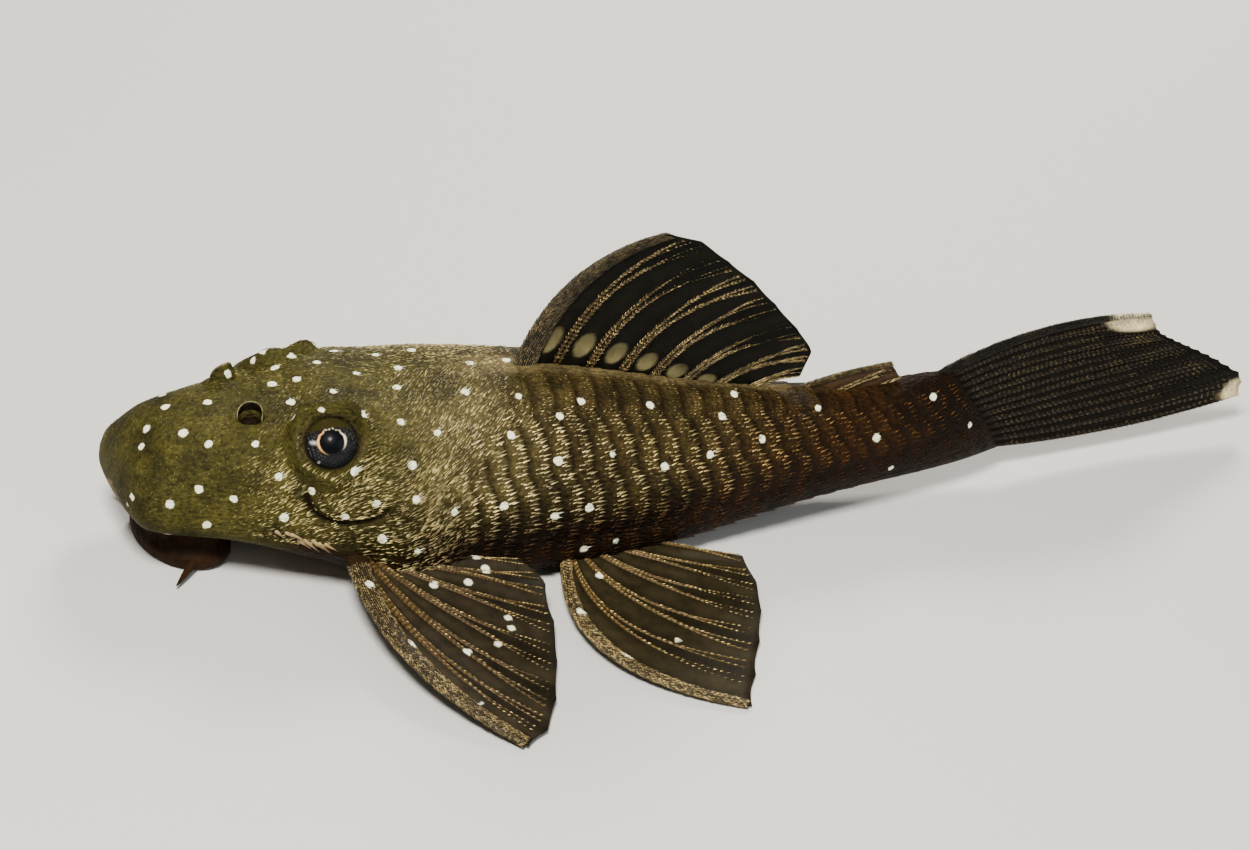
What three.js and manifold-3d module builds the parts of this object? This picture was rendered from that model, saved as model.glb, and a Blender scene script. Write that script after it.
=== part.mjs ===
// Bristlenose catfish, a life-size still model resting on its lips, belly and fin tips.
// Millimetres, +Z up. The fish faces -X, its left side faces -Y and the floor is z = 0.
import * as THREE from "three";
import { mergeVertices } from "three/addons/utils/BufferGeometryUtils.js";
import Module from "manifold-3d";

const wasm = await Module();
wasm.setup();

// Driving sizes
const SNOUT_TIP = 3.0; // where the fish begins along X
const BODY_LENGTH = 73; // where its tail fin begins
const HEAD_END = 25; // the head's bony shield ends here
const TRUNK_END = 53; // the tail stalk starts behind the anal fin's root
const JOINT_GAP = 0.3; // the thin cut between neighbouring pieces
const NECK_FRONT = 17;
const NECK_REAR = 35;
const NECK_RADIUS = 400; // the head is turned a little to the left
const HEAD_SKEW = 0.14; // and its right side is held further forward
const BEND_START = 38; // the body is straight in front of this
const BEND_RADIUS = 150; // the tail curves to the fish's right
const TAIL_SLANT = 0.75; // the root of the tail fin leans, its lower end further back
const PLATE_PITCH = 1.95; // length of one body plate
const PLATE_STEP = 0.28; // how far a plate's rear edge stands up
const MEMBRANE = 0.5; // thickness of the skin between fin rays
const ROOT_SINK = 1.2; // how deep a fin's root starts inside the body

// Smooth curve through stations [x, value], with no overshoot between them
function profile(stations) {
  const count = stations.length;
  const xs = stations.map((s) => s[0]);
  const ys = stations.map((s) => s[1]);
  const rise = (i) => (ys[i + 1] - ys[i]) / (xs[i + 1] - xs[i]);
  const slopes = xs.map((_, i) => {
    if (i === 0) return rise(0);
    if (i === count - 1) return rise(count - 2);
    const before = rise(i - 1);
    const after = rise(i);
    return before * after <= 0 ? 0 : (2 * before * after) / (before + after);
  });
  return (x) => {
    const at = THREE.MathUtils.clamp(x, xs[0], xs[count - 1]);
    let i = 0;
    while (i < count - 2 && at > xs[i + 1]) i += 1;
    const step = xs[i + 1] - xs[i];
    const t = (at - xs[i]) / step;
    return (
      ys[i] * (1 + 2 * t) * (1 - t) ** 2 +
      step * slopes[i] * t * (1 - t) ** 2 +
      ys[i + 1] * t * t * (3 - 2 * t) +
      step * slopes[i + 1] * t * t * (t - 1)
    );
  };
}

// The body's outline: half width, back, underside, and the height of its widest line
const halfWidth = profile([
  [3.0, 0], [3.1, 2.7], [3.5, 4.2], [4.1, 5.0], [5.4, 5.4], [7.2, 5.75], [9.5, 6.3],
  [12, 7.2], [14.5, 8.0], [17, 8.65], [19.5, 9.55], [21.5, 10.5], [24, 10.4],
  [28, 9.7], [33, 8.8], [40, 7.5], [50, 5.3], [60, 3.6], [67, 2.6], [70.5, 1.9], [73, 0.9],
]);
const backHeight = profile([
  [3.0, 5.8], [3.3, 7.4], [3.8, 8.45], [4.6, 9.4], [6.3, 10.85], [9, 11.65], [12, 12.0],
  [15, 12.65], [18, 13.4], [22, 13.4], [27, 13.95], [31, 14.1], [34, 14.1], [38, 13.7], [46, 12.3],
  [51.4, 11.4], [56, 10.6], [61, 10.1], [66, 10.2], [70, 10.5], [73, 10.6],
]);
const bellyHeight = profile([
  [3.0, 5.0], [3.5, 4.0], [4.4, 3.1], [6, 2.8], [11, 2.6], [16, 1.5], [22, -0.12], [38, -0.12],
  [46, 0.2], [54, 1.1], [62, 1.7], [68, 1.9], [73, 2.3],
]);
const widestHeight = profile([
  [3.0, 5.5], [5, 5.2], [11, 4.95], [17, 4.75], [21, 4.1], [33, 4.0], [45, 4.4], [60, 5.4], [73, 6.4],
]);
const topRoundness = profile([[3, 2.3], [8, 2.4], [13, 2.6], [18, 2.6], [24, 2.3], [40, 2.0], [73, 1.9]]);
const bellyRoundness = profile([[3, 2.4], [16, 3.0], [25, 4], [40, 3.6], [56, 2.4], [73, 2]]);

// A point of the straight fish moved to where the turned head and curved tail hold it
const HEAD_TURN = (NECK_REAR - NECK_FRONT) / NECK_RADIUS;
function curved(straightAlong, y, z) {
  const share = 1 - THREE.MathUtils.smoothstep(straightAlong, NECK_FRONT + 1, NECK_REAR - 3);
  const along = straightAlong - HEAD_SKEW * y * share;
  if (along < NECK_REAR) {
    const turn = NECK_REAR - Math.max(along, NECK_FRONT);
    const angle = turn / NECK_RADIUS;
    const beyond = NECK_REAR - turn - along;
    const reach = NECK_RADIUS + y;
    return new THREE.Vector3(
      NECK_REAR - reach * Math.sin(angle) - beyond * Math.cos(angle),
      reach * Math.cos(angle) - NECK_RADIUS - beyond * Math.sin(angle),
      z,
    );
  }
  if (along <= BEND_START) return new THREE.Vector3(along, y, z);
  const turn = Math.min(along, BODY_LENGTH) - BEND_START;
  const angle = turn / BEND_RADIUS;
  const beyond = along - BEND_START - turn;
  const reach = BEND_RADIUS - y;
  return new THREE.Vector3(
    BEND_START + reach * Math.sin(angle) + beyond * Math.cos(angle),
    BEND_RADIUS - reach * Math.cos(angle) + beyond * Math.sin(angle),
    z,
  );
}

// The same for the body, whose rear end leans
function bent(x, y, z) {
  const lean = TAIL_SLANT * (6.4 - z) * THREE.MathUtils.smoothstep(x, 56, BODY_LENGTH);
  return curved(x + lean, y, z);
}

// Share of the way from the middle of the back (0) to the middle of the belly (1)
const downward = (girth) => 2 * Math.min(girth, 1 - girth);
const ease = THREE.MathUtils.smoothstep;

// The eyes stand on low swellings of the head
const EYE_X = 16.44;
const EYE_GIRTH = 0.111;
const BROW_HEIGHT = 0.55;
function brow(x, girth) {
  const away = Math.hypot((x - 15.7) / 4.6, (downward(girth) / 2 - 0.098) / 0.06);
  return BROW_HEIGHT * (1 - ease(away, 0, 1));
}

// Bony plates in five rows a side, each column of them slanting back down the flank.
// A plate's rear edge stands up over the next, like a sawtooth along the body.
const PLATE_ROWS = 5;
const PLATED_SHARE = 0.84; // share of the half girth, from the back, that is plated
const COLUMN_SLANT = 2.4;
function slanted(station, girth) {
  const fade = ease(station, 21, 29) * (1 - ease(station, 64, 71));
  return station + COLUMN_SLANT * fade * (ease(downward(girth), 0.05, 0.5) - 0.5);
}
function plateRelief(station, girth) {
  const down = downward(girth);
  if (station < HEAD_END || station > BODY_LENGTH - 1 || down > PLATED_SHARE) return 0;
  const row = (down / PLATED_SHARE) * PLATE_ROWS;
  const along = (station - HEAD_END) / PLATE_PITCH;
  const edge = along - Math.floor(along);
  const crown = 0.5 + 0.5 * Math.sin(Math.PI * (row - Math.floor(row)));
  return PLATE_STEP * edge * crown * (0.4 + 0.6 * ease(station, HEAD_END, HEAD_END + 4));
}

// Surface point of the body; girth runs 0..1 from the back, down the left side, round
function skin(x, girth, raise = 0, belowRaise = raise) {
  const c = Math.cos(girth * 2 * Math.PI);
  const s = Math.sin(girth * 2 * Math.PI);
  const widest = widestHeight(x);
  const power = 2 / (c >= 0 ? topRoundness(x) : bellyRoundness(x));
  const half = c >= 0 ? backHeight(x) - widest : widest - bellyHeight(x);
  const out = raise + brow(x, girth);
  const y = -Math.sign(s) * (halfWidth(x) + out) * Math.abs(s) ** power;
  const z = widest + Math.sign(c) * (half + (c >= 0 ? out : belowRaise)) * Math.abs(c) ** power;
  return bent(x, y, z);
}

// Closed body piece between two stations, its ends flat
const GIRTH_STEPS = 40;
function loft(stations, grow = 0) {
  const rings = stations.map((x) =>
    Array.from({ length: GIRTH_STEPS }, (_, j) => {
      const girth = j / GIRTH_STEPS;
      return skin(slanted(x, girth), girth, grow + plateRelief(x, girth), grow);
    }),
  );
  const total = (ring) => ring.reduce((sum, p) => sum.add(p), new THREE.Vector3());
  const middle = (ring) => total(ring).divideScalar(ring.length);
  const points = rings.flat();
  const faces = [];
  for (let i = 0; i < rings.length - 1; i += 1) {
    for (let j = 0; j < GIRTH_STEPS; j += 1) {
      const next = (j + 1) % GIRTH_STEPS;
      const a = i * GIRTH_STEPS + j;
      const b = i * GIRTH_STEPS + next;
      faces.push(a, b, a + GIRTH_STEPS, b, b + GIRTH_STEPS, a + GIRTH_STEPS);
    }
  }
  const front = points.push(middle(rings[0])) - 1;
  const rear = points.push(middle(rings[rings.length - 1])) - 1;
  const last = (rings.length - 1) * GIRTH_STEPS;
  for (let j = 0; j < GIRTH_STEPS; j += 1) {
    const next = (j + 1) % GIRTH_STEPS;
    faces.push(front, next, j);
    faces.push(rear, last + j, last + next);
  }
  return closedMesh(points, faces);
}

function closedMesh(points, faces) {
  const geometry = new THREE.BufferGeometry().setFromPoints(points);
  geometry.setIndex(faces);
  return geometry;
}

// Between three.js geometry and a solid that can be joined and cut
function solid(geometry) {
  const bare = geometry.clone();
  for (const extra of ["normal", "uv"]) bare.deleteAttribute(extra);
  const merged = mergeVertices(bare, 1e-4);
  const made = new wasm.Manifold(
    new wasm.Mesh({
      numProp: 3,
      vertProperties: new Float32Array(merged.attributes.position.array),
      triVerts: new Uint32Array(merged.index.array),
    }),
  );
  if (made.volume() < 0) throw new Error("a piece is inside out");
  return made;
}

function largest(shape) {
  return shape.decompose().reduce((best, piece) => (piece.volume() > best.volume() ? piece : best));
}

function geometryOf(shape) {
  const mesh = largest(shape).getMesh();
  const geometry = new THREE.BufferGeometry();
  geometry.setAttribute("position", new THREE.BufferAttribute(new Float32Array(mesh.vertProperties), 3));
  geometry.setIndex(new THREE.BufferAttribute(new Uint32Array(mesh.triVerts), 1));
  return geometry;
}

const placed = (geometry, matrix) => solid(geometry.clone().applyMatrix4(matrix));

// Frame at a place on the skin: Z stands out of the surface and X runs along it to the rear
function skinFrame(x, girth, sink = 0) {
  const at = (dx, dg) => skin(x + dx, girth + dg);
  const here = at(0, 0);
  const along = at(0.3, 0).sub(at(-0.3, 0)).normalize();
  const round = at(0, 0.004).sub(at(0, -0.004)).normalize();
  const out = round.clone().cross(along).normalize();
  const across = out.clone().cross(along).normalize();
  const frame = new THREE.Matrix4().makeBasis(along, across, out);
  frame.setPosition(here.addScaledVector(out, -sink));
  return frame;
}

const mirrored = (shape) => shape.mirror([0, 1, 0]);
// The same for what the turned head carries, whose right side is further forward
const turnedBy = (shape, angle) => shape.rotate([0, 0, THREE.MathUtils.radToDeg(angle)]);
const neck = curved(NECK_FRONT, 0, 0);
function acrossHead(shape) {
  const straight = turnedBy(shape.translate(neck.clone().negate().toArray()), -HEAD_TURN);
  const box = straight.boundingBox();
  const forward = HEAD_SKEW * (box.min[1] + box.max[1]);
  return turnedBy(mirrored(straight).translate([forward, 0, 0]), HEAD_TURN).translate(neck.toArray());
}

// Stations of the three body pieces
function steps(from, to, count) {
  return Array.from({ length: count + 1 }, (_, i) => from + ((to - from) * i) / count);
}
const SNOUT_STATIONS = [0.06, 0.25, 0.6, 1.1, 1.8, 2.6].map((dx) => SNOUT_TIP + dx);
function platedStations(from, to) {
  const list = [from];
  const first = Math.ceil((from - HEAD_END) / PLATE_PITCH + 0.05);
  for (let n = first; HEAD_END + n * PLATE_PITCH < to - 0.5; n += 1) {
    const edge = HEAD_END + n * PLATE_PITCH;
    list.push(edge - 0.12, edge + 0.12);
  }
  list.push(to);
  return list;
}
const HEAD_STATIONS = [...SNOUT_STATIONS, ...steps(6.2, HEAD_END - JOINT_GAP, 12)];
const FRONT_STATIONS = [...SNOUT_STATIONS, ...steps(6.2, HEAD_END - 0.6, 12)];
const TRUNK_STATIONS = platedStations(HEAD_END, TRUNK_END);
const TAIL_STATIONS = platedStations(TRUNK_END + JOINT_GAP, BODY_LENGTH);
const GROWN_STATIONS = [...FRONT_STATIONS, ...platedStations(HEAD_END, BODY_LENGTH + JOINT_GAP)];
const grownBody = solid(loft(GROWN_STATIONS, JOINT_GAP));

// Eyes: balls set high on the sides of the head, in a raised bony rim
const EYE_RADIUS = 1.95;
const EYE_SINK = 1.05;
const UPWARD = new THREE.Vector3(0, 0, 1);
const EYE_FACING = new THREE.Vector3(-0.2, -0.72, 0.66).normalize().applyAxisAngle(UPWARD, HEAD_TURN);
function eyeFrame() {
  const place = new THREE.Vector3().setFromMatrixPosition(skinFrame(EYE_X, EYE_GIRTH));
  const upward = UPWARD.clone().addScaledVector(EYE_FACING, -EYE_FACING.z).normalize();
  const rearward = upward.clone().cross(EYE_FACING);
  const frame = new THREE.Matrix4().makeBasis(rearward, upward, EYE_FACING);
  return frame.setPosition(place.addScaledVector(EYE_FACING, -EYE_SINK));
}
function eyeBall(grow) {
  const ball = new THREE.SphereGeometry(EYE_RADIUS + grow, 16, 10);
  ball.rotateX(Math.PI / 2);
  return placed(ball, eyeFrame());
}
// The lid: a low ring of skin that the ball looks out of, seated in the head
function eyeLid() {
  const outline = [[0, -0.8], [2.6, -0.8], [2.8, 0.4], [2.45, 0.98], [2.05, 1.25], [1.6, 1.2], [0, 1.2]];
  const lid = new THREE.LatheGeometry(outline.map((p) => new THREE.Vector2(...p)), 20);
  lid.rotateX(Math.PI / 2);
  return placed(lid, eyeFrame());
}
// The right eye is drawn in a little
const DRAWN_IN = EYE_FACING.clone().multiplyScalar(-0.4).toArray();
const rightEye = (shape) => acrossHead(shape.translate(DRAWN_IN));

// Nostrils: a pit with a hood of skin standing along its inner side
const NOSTRIL_X = 11.95;
const NOSTRIL_GIRTH = 0.038;
const RIGHT_NOSTRIL_GIRTH = 0.06;
function nostrilPit(girth) {
  const pit = new THREE.SphereGeometry(0.85, 12, 8);
  pit.scale(1.1, 0.8, 1.1);
  return placed(pit, skinFrame(NOSTRIL_X, girth));
}
function nostrilFlap(girth) {
  const outline = [[0.7, -0.6], [1.2, -0.6], [1.1, 1.3], [0.78, 1.3], [0.7, -0.6]];
  const wall = new THREE.LatheGeometry(outline.map((p) => new THREE.Vector2(...p)), 12);
  wall.rotateX(Math.PI / 2);
  const open = new THREE.BoxGeometry(3, 2.4, 2.8);
  open.translate(0, -1.3, 1.5);
  const frame = skinFrame(NOSTRIL_X, girth);
  return placed(wall, frame).subtract(placed(open, frame));
}

// Gill cover: a low oval plate behind the cheek, over a curved slit
const GILL_X = 17.4;
const GILL_GIRTH = 0.196;
function gillCover() {
  const plate = new THREE.SphereGeometry(1, 18, 10);
  plate.rotateX(Math.PI / 2);
  plate.scale(3.0, 1.95, 0.7);
  return placed(plate, skinFrame(GILL_X, GILL_GIRTH, 0.25));
}
function gillSlit() {
  const curve = new THREE.CatmullRomCurve3(
    steps(3.2, 6.0, 8).map((a) => new THREE.Vector3(3.2 * Math.cos(a), 2.3 * Math.sin(a), 0)),
  );
  const round = new THREE.Shape().absarc(0, 0, 0.28, 0, Math.PI * 2);
  const slit = new THREE.ExtrudeGeometry(round, { steps: 14, curveSegments: 3, extrudePath: curve });
  return placed(slit, skinFrame(GILL_X, GILL_GIRTH));
}

// Cheek spines: short, hooked, tapering spines that fan back from the cheek's lower edge
const CHEEK_SPINES = 6;
function cheekSpines() {
  return steps(0, 1, CHEEK_SPINES - 1).map((share) => {
    const length = 2.0 - 0.7 * Math.abs(share - 0.6);
    const spine = new THREE.ConeGeometry(0.3, length, 5, 1);
    spine.translate(0, length / 2 - 0.6, 0);
    const frame = skinFrame(13.0 + 2.8 * share, 0.240 + 0.008 * share, 0.2);
    const lean = new THREE.Matrix4().makeRotationZ(-Math.PI / 2 - 0.35);
    const lift = new THREE.Matrix4().makeRotationX(0.5);
    return placed(spine, frame.clone().multiply(lean).multiply(lift));
  });
}

function headSolid() {
  const half = [gillCover(), ...cheekSpines()];
  let head = solid(loft(HEAD_STATIONS)).add(eyeLid()).add(rightEye(eyeLid()));
  head = head.add(nostrilFlap(NOSTRIL_GIRTH)).add(acrossHead(nostrilFlap(RIGHT_NOSTRIL_GIRTH)));
  for (const piece of half) head = head.add(piece).add(acrossHead(piece));
  head = head.subtract(nostrilPit(NOSTRIL_GIRTH)).subtract(acrossHead(nostrilPit(RIGHT_NOSTRIL_GIRTH)));
  head = head.subtract(gillSlit()).subtract(acrossHead(gillSlit()));
  const socket = eyeBall(JOINT_GAP);
  return head.subtract(socket).subtract(rightEye(socket));
}

// Sucker mouth: a ring of soft lips under the snout, its rim flat on the floor, with a barbel each side
const MOUTH_X = 8.5;
function mouthSolid() {
  const outline = [
    [2.4, 0.6], [2.8, 0], [6.1, 0], [6.9, 0.4], [7.0, 0.9], [6.3, 1.6], [5.6, 3.4], [2.6, 3.4], [2.4, 0.6],
  ];
  const lip = new THREE.LatheGeometry(outline.map((p) => new THREE.Vector2(...p)), 26);
  lip.rotateX(Math.PI / 2);
  lip.scale(0.5, 0.66, 1);
  lip.translate(MOUTH_X, 0, 0);
  let mouth = solid(lip);
  for (const side of [-1, 1]) {
    const barbel = new THREE.ConeGeometry(0.42, 3.2, 6, 1);
    barbel.rotateZ(-Math.PI / 2);
    barbel.rotateZ(side * 2.29);
    barbel.translate(MOUTH_X - 1.6, side * 5.4, 0.75);
    mouth = mouth.add(solid(barbel));
  }
  const hollow = solid(loft(FRONT_STATIONS, JOINT_GAP));
  const withHead = mouth.warp((point) => curved(...point).toArray(point));
  return withHead.subtract(hollow);
}

// A fin: rays {root, bow, tip} that run root to tip, with membrane between them.
// The first may be a stout spine; the others are soft and fork past the middle.
function rayPoint(ray, v) {
  const at = ray.root.clone().multiplyScalar((1 - v) ** 2);
  at.addScaledVector(ray.bow, 2 * v * (1 - v));
  return at.addScaledVector(ray.tip, v * v);
}
function finSheet(rays, rows, ridge, spine) {
  const last = rays.length - 1;
  const columns = rays.flatMap((_, i) => {
    const own = [-1, 0, 1].map((side) => ({ u: i, side, hard: i === 0, ray: true }));
    return i < last ? [...own, { u: i + 0.5, side: 0, hard: false, ray: false }] : own;
  });
  const surface = (u, v) => {
    const i = Math.min(Math.floor(Math.max(u, 0)), last - 1);
    const t = u - i;
    const gap = t > 0 && t < 1 ? 4 * t * (1 - t) : 0;
    const reach = v * (1 - 0.01 * gap * v);
    return rayPoint(rays[i], reach).lerp(rayPoint(rays[i + 1], reach), t);
  };
  const place = (column, v) => {
    const spread = column.hard ? 0.2 : 0.09 + 0.2 * Math.max(0, v - 0.4);
    const u = column.u + column.side * spread;
    const across = surface(u + 0.1, v).sub(surface(u - 0.1, v)).normalize();
    const along = surface(u, Math.min(v + 0.05, 1)).sub(surface(u, Math.max(v - 0.05, 0)));
    const at = surface(u, v);
    if (column.hard && column.side < 0) {
      at.copy(surface(0, v)).addScaledVector(across, -0.45 * spine * (1 - 0.5 * v));
    }
    const forked = column.side === 0 && v > 0.45;
    let thick = MEMBRANE;
    if (column.hard) thick = spine * (column.side === 0 ? 1 - 0.55 * v : 0.55 - 0.2 * v);
    else if (column.ray && !forked) thick = MEMBRANE + ridge * (1 - 0.75 * v);
    return { at, normal: across.cross(along).normalize(), half: Math.max(thick, 0.45) / 2 };
  };
  const points = [1, -1].flatMap((face) =>
    rows.flatMap((v) =>
      columns.map((column) => {
        const p = place(column, v);
        return p.at.addScaledVector(p.normal, face * p.half);
      }),
    ),
  );
  const wide = columns.length;
  const under = wide * rows.length;
  const faces = [];
  const quad = (a, b, c, d) => faces.push(a, b, c, a, c, d);
  for (let i = 0; i < rows.length - 1; i += 1) {
    for (let j = 0; j < wide - 1; j += 1) {
      const a = i * wide + j;
      const b = under + a;
      faces.push(a, a + 1, a + wide + 1, a, a + wide + 1, a + wide);
      faces.push(b, b + wide + 1, b + 1, b, b + wide, b + wide + 1);
    }
    const left = i * wide;
    const right = left + wide - 1;
    quad(left, left + wide, under + left + wide, under + left);
    quad(right, under + right, under + right + wide, right + wide);
  }
  const end = (rows.length - 1) * wide;
  for (let j = 0; j < wide - 1; j += 1) {
    quad(j, under + j, under + j + 1, j + 1);
    quad(end + j, end + j + 1, under + end + j + 1, under + end + j);
  }
  return solid(closedMesh(points, faces));
}
const FIN_ROWS = [0, 0.15, 0.3, 0.45, 0.58, 0.72, 0.86, 1];

// A fan of rays: root, tip and bow are each given by the share of the way across the fin
function fan(count, shape) {
  return steps(0, 1, count - 1).map((share) => {
    const ray = shape(share);
    const bow = ray.root.clone().lerp(ray.tip, 0.45).add(ray.bow);
    return { root: ray.root, tip: ray.tip, bow };
  });
}
const vec = (x, y, z) => new THREE.Vector3(x, y, z);
const mix = THREE.MathUtils.lerp;

// Dorsal fin: one spine and seven forked rays, raised, on a base of a quarter of the body
const dorsalTipX = profile([
  [0, 43.2], [0.14, 45.8], [0.29, 48.4], [0.43, 50.7], [0.57, 52.8], [0.71, 55.0], [0.86, 56.6], [1, 56.0],
]);
const dorsalTipZ = profile([
  [0, 24.9], [0.14, 24.2], [0.29, 22.3], [0.43, 20.5], [0.57, 18.4], [0.71, 16.1], [0.86, 13.8], [1, 11.8],
]);
function dorsalFin() {
  const rays = fan(8, (share) => {
    const x = mix(33.0, 50.8, share);
    return {
      root: curved(x, 0, backHeight(x) - ROOT_SINK),
      tip: curved(dorsalTipX(share), 0, dorsalTipZ(share)),
      bow: vec(-2.8 + 1.8 * share, 0, 4.4 - 3.6 * share),
    };
  });
  return finSheet(rays, FIN_ROWS, 0.5, 1.4).subtract(grownBody);
}

// Adipose fin: one short spine with a small flap behind it
function adiposeFin() {
  const rays = fan(3, (share) => {
    const x = mix(54.8, 63.2, share);
    return {
      root: curved(x, 0, backHeight(x) - 0.6),
      tip: curved(64.1 + 0.8 * share, 0, 12.0 - 1.3 * share),
      bow: vec(-0.3, 0, 0.6 - 0.4 * share),
    };
  });
  return finSheet(rays, [0, 0.3, 0.55, 0.8, 1], 0.3, 1.0).subtract(grownBody);
}

// Tail fin: fourteen rays, the lower lobe the longer, the rear edge straight and slanting
const caudalTipX = profile([
  [0, 89.2], [0.15, 90.4], [0.35, 92.6], [0.55, 95.4], [0.75, 98.6], [0.9, 100.8], [1, 101.0],
]);
const caudalTipZ = profile([
  [0, 12.6], [0.15, 10.9], [0.35, 9.6], [0.55, 8.2], [0.75, 6.4], [0.9, 4.7], [1, 3.0],
]);
function caudalFin() {
  const rays = fan(14, (share) => ({
    root: curved(mix(69.6, 76.0, share) - ROOT_SINK, 0, mix(10.2, 2.6, share)),
    tip: curved(caudalTipX(share), 0, caudalTipZ(share)),
    bow: vec(0, 0, 3.0 - 4.4 * share),
  }));
  return finSheet(rays, FIN_ROWS, 0.4, 0.9).subtract(grownBody);
}

// Anal fin: small, laid back along the underside close to the floor
function analFin() {
  const rays = fan(5, (share) => {
    const x = mix(51.6, 55.2, share);
    return {
      root: curved(x, 0, bellyHeight(x) + ROOT_SINK),
      tip: curved(60.0 + 3.8 * share, 0, 0.5 + 0.5 * share),
      bow: vec(-0.6, 0, -0.5),
    };
  });
  return finSheet(rays, [0, 0.25, 0.5, 0.75, 1], 0.3, 0.8).subtract(grownBody);
}

// Pectoral fin: a stout curved spine and six forked rays, spread over the floor.
// The right one lies folded further back than the left.
const RIGHT_FOLD = THREE.MathUtils.degToRad(22);
const pectoralTipX = profile([
  [0, 28.4], [0.17, 30.2], [0.33, 31.6], [0.5, 32.8], [0.67, 33.6], [0.83, 33.6], [1, 31.6],
]);
const pectoralTipY = profile([
  [0, -28.4], [0.17, -26.8], [0.33, -23.6], [0.5, -19.2], [0.67, -14.8], [0.83, -11.8], [1, -9.8],
]);
const pectoralTipZ = profile([[0, 0.3], [0.33, 0.5], [0.5, 0.6], [0.67, 1.1], [0.83, 2.2], [1, 3.6]]);
function pectoralFin() {
  const rays = fan(7, (share) => ({
    root: vec(19.6 + 3.0 * share, -9.3, 3.5 - 0.4 * share),
    tip: vec(pectoralTipX(share), pectoralTipY(share), pectoralTipZ(share)),
    bow: vec(-4.4 * (1 - share) ** 1.3, -3.3 * (1 - share), 0.6),
  }));
  return finSheet(rays, FIN_ROWS, 0.45, 1.6);
}
function rightPectoralFin() {
  const atItsRoot = mirrored(pectoralFin()).translate([-21, -9.3, 0]);
  return turnedBy(atItsRoot, -RIGHT_FOLD).translate([20.4, 8.6, 0]);
}

// Pelvic fin: a spine and five forked rays, spread like the pectoral
const pelvicTipX = profile([[0, 45.9], [0.2, 47.3], [0.4, 48.8], [0.6, 50.0], [0.8, 50.6], [1, 50.4]]);
const pelvicTipY = profile([[0, -25.1], [0.2, -21.5], [0.4, -17.6], [0.6, -14.0], [0.8, -10.6], [1, -7.0]]);
function pelvicFin() {
  const rays = fan(6, (share) => ({
    root: vec(36.8 + 2.0 * share, -6.0 + 1.2 * share, 1.5),
    tip: vec(pelvicTipX(share), pelvicTipY(share), 0.25 + 0.9 * share ** 2),
    bow: vec(-9.4 * (1 - share) ** 1.4, -6.0 * (1 - share) ** 1.4, 0.2 + 0.3 * share),
  }));
  return finSheet(rays, FIN_ROWS, 0.4, 1.4);
}

// Nothing reaches below the floor, and the spines' tips stand on small flats
function aboveFloor(shape) {
  const floor = new THREE.BoxGeometry(200, 200, 20);
  floor.translate(50, 0, -10);
  return shape.subtract(solid(floor));
}

const fish = new THREE.Group();
const OLIVE = { color: 0x3f3a1c, roughness: 0.55, metalness: 0 };
const BROWN = { color: 0x2c1c0e, roughness: 0.55, metalness: 0 };
const FIN = { color: 0x4a3c22, roughness: 0.45, metalness: 0 };
const LIP = { color: 0x55341f, roughness: 0.6, metalness: 0 };
const EYE = { color: 0x0b0a08, roughness: 0.08, metalness: 0 };
function show(name, shape, finish) {
  const mesh = new THREE.Mesh(geometryOf(shape), new THREE.MeshStandardMaterial(finish));
  mesh.name = name;
  fish.add(mesh);
}

show("head", aboveFloor(headSolid()), OLIVE);
show("mouth", mouthSolid(), LIP);
show("trunk", aboveFloor(solid(loft(TRUNK_STATIONS))), OLIVE);
show("tail_stalk", solid(loft(TAIL_STATIONS)), BROWN);
show("eye_left", eyeBall(0), EYE);
show("eye_right", rightEye(eyeBall(0)), EYE);
show("dorsal_fin", dorsalFin(), FIN);
show("adipose_fin", adiposeFin(), FIN);
show("tail_fin", caudalFin(), FIN);
show("anal_fin", aboveFloor(analFin()), FIN);
const leftPelvic = aboveFloor(pelvicFin().subtract(grownBody));
show("pectoral_fin_left", aboveFloor(pectoralFin().subtract(grownBody)), FIN);
show("pectoral_fin_right", aboveFloor(rightPectoralFin().subtract(grownBody)), FIN);
show("pelvic_fin_left", leftPelvic, FIN);
show("pelvic_fin_right", mirrored(leftPelvic), FIN);

// The part's origin is the middle of its footprint, on the floor
const footprint = new THREE.Box3().setFromObject(fish);
const centre = footprint.getCenter(new THREE.Vector3());
fish.position.set(-centre.x, -centre.y, -footprint.min.z);

const part = new THREE.Group();
part.add(fish);

export default part;
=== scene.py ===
import math

import bmesh
import bpy
import numpy as np
from mathutils import Matrix, Vector


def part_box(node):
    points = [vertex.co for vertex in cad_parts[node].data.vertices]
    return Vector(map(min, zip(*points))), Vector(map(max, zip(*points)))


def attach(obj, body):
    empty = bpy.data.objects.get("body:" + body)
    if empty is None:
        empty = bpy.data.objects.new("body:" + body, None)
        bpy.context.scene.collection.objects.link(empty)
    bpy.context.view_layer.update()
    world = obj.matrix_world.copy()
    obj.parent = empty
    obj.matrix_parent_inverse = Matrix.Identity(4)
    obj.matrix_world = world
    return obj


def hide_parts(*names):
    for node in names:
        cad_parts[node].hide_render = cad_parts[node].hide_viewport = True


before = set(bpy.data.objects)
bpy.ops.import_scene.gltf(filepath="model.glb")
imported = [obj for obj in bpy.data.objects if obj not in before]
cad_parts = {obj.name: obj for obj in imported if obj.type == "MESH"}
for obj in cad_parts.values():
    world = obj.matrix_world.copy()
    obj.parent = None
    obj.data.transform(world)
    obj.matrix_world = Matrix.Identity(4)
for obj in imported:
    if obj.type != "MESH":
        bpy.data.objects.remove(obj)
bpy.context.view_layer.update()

# Body: a flattened, big-headed armoured fish. Skin lies thin over bony plates, five rows a side
# behind the head's shield, each plate lapping the next. Head, trunk and tail stalk are one skin.

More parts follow.
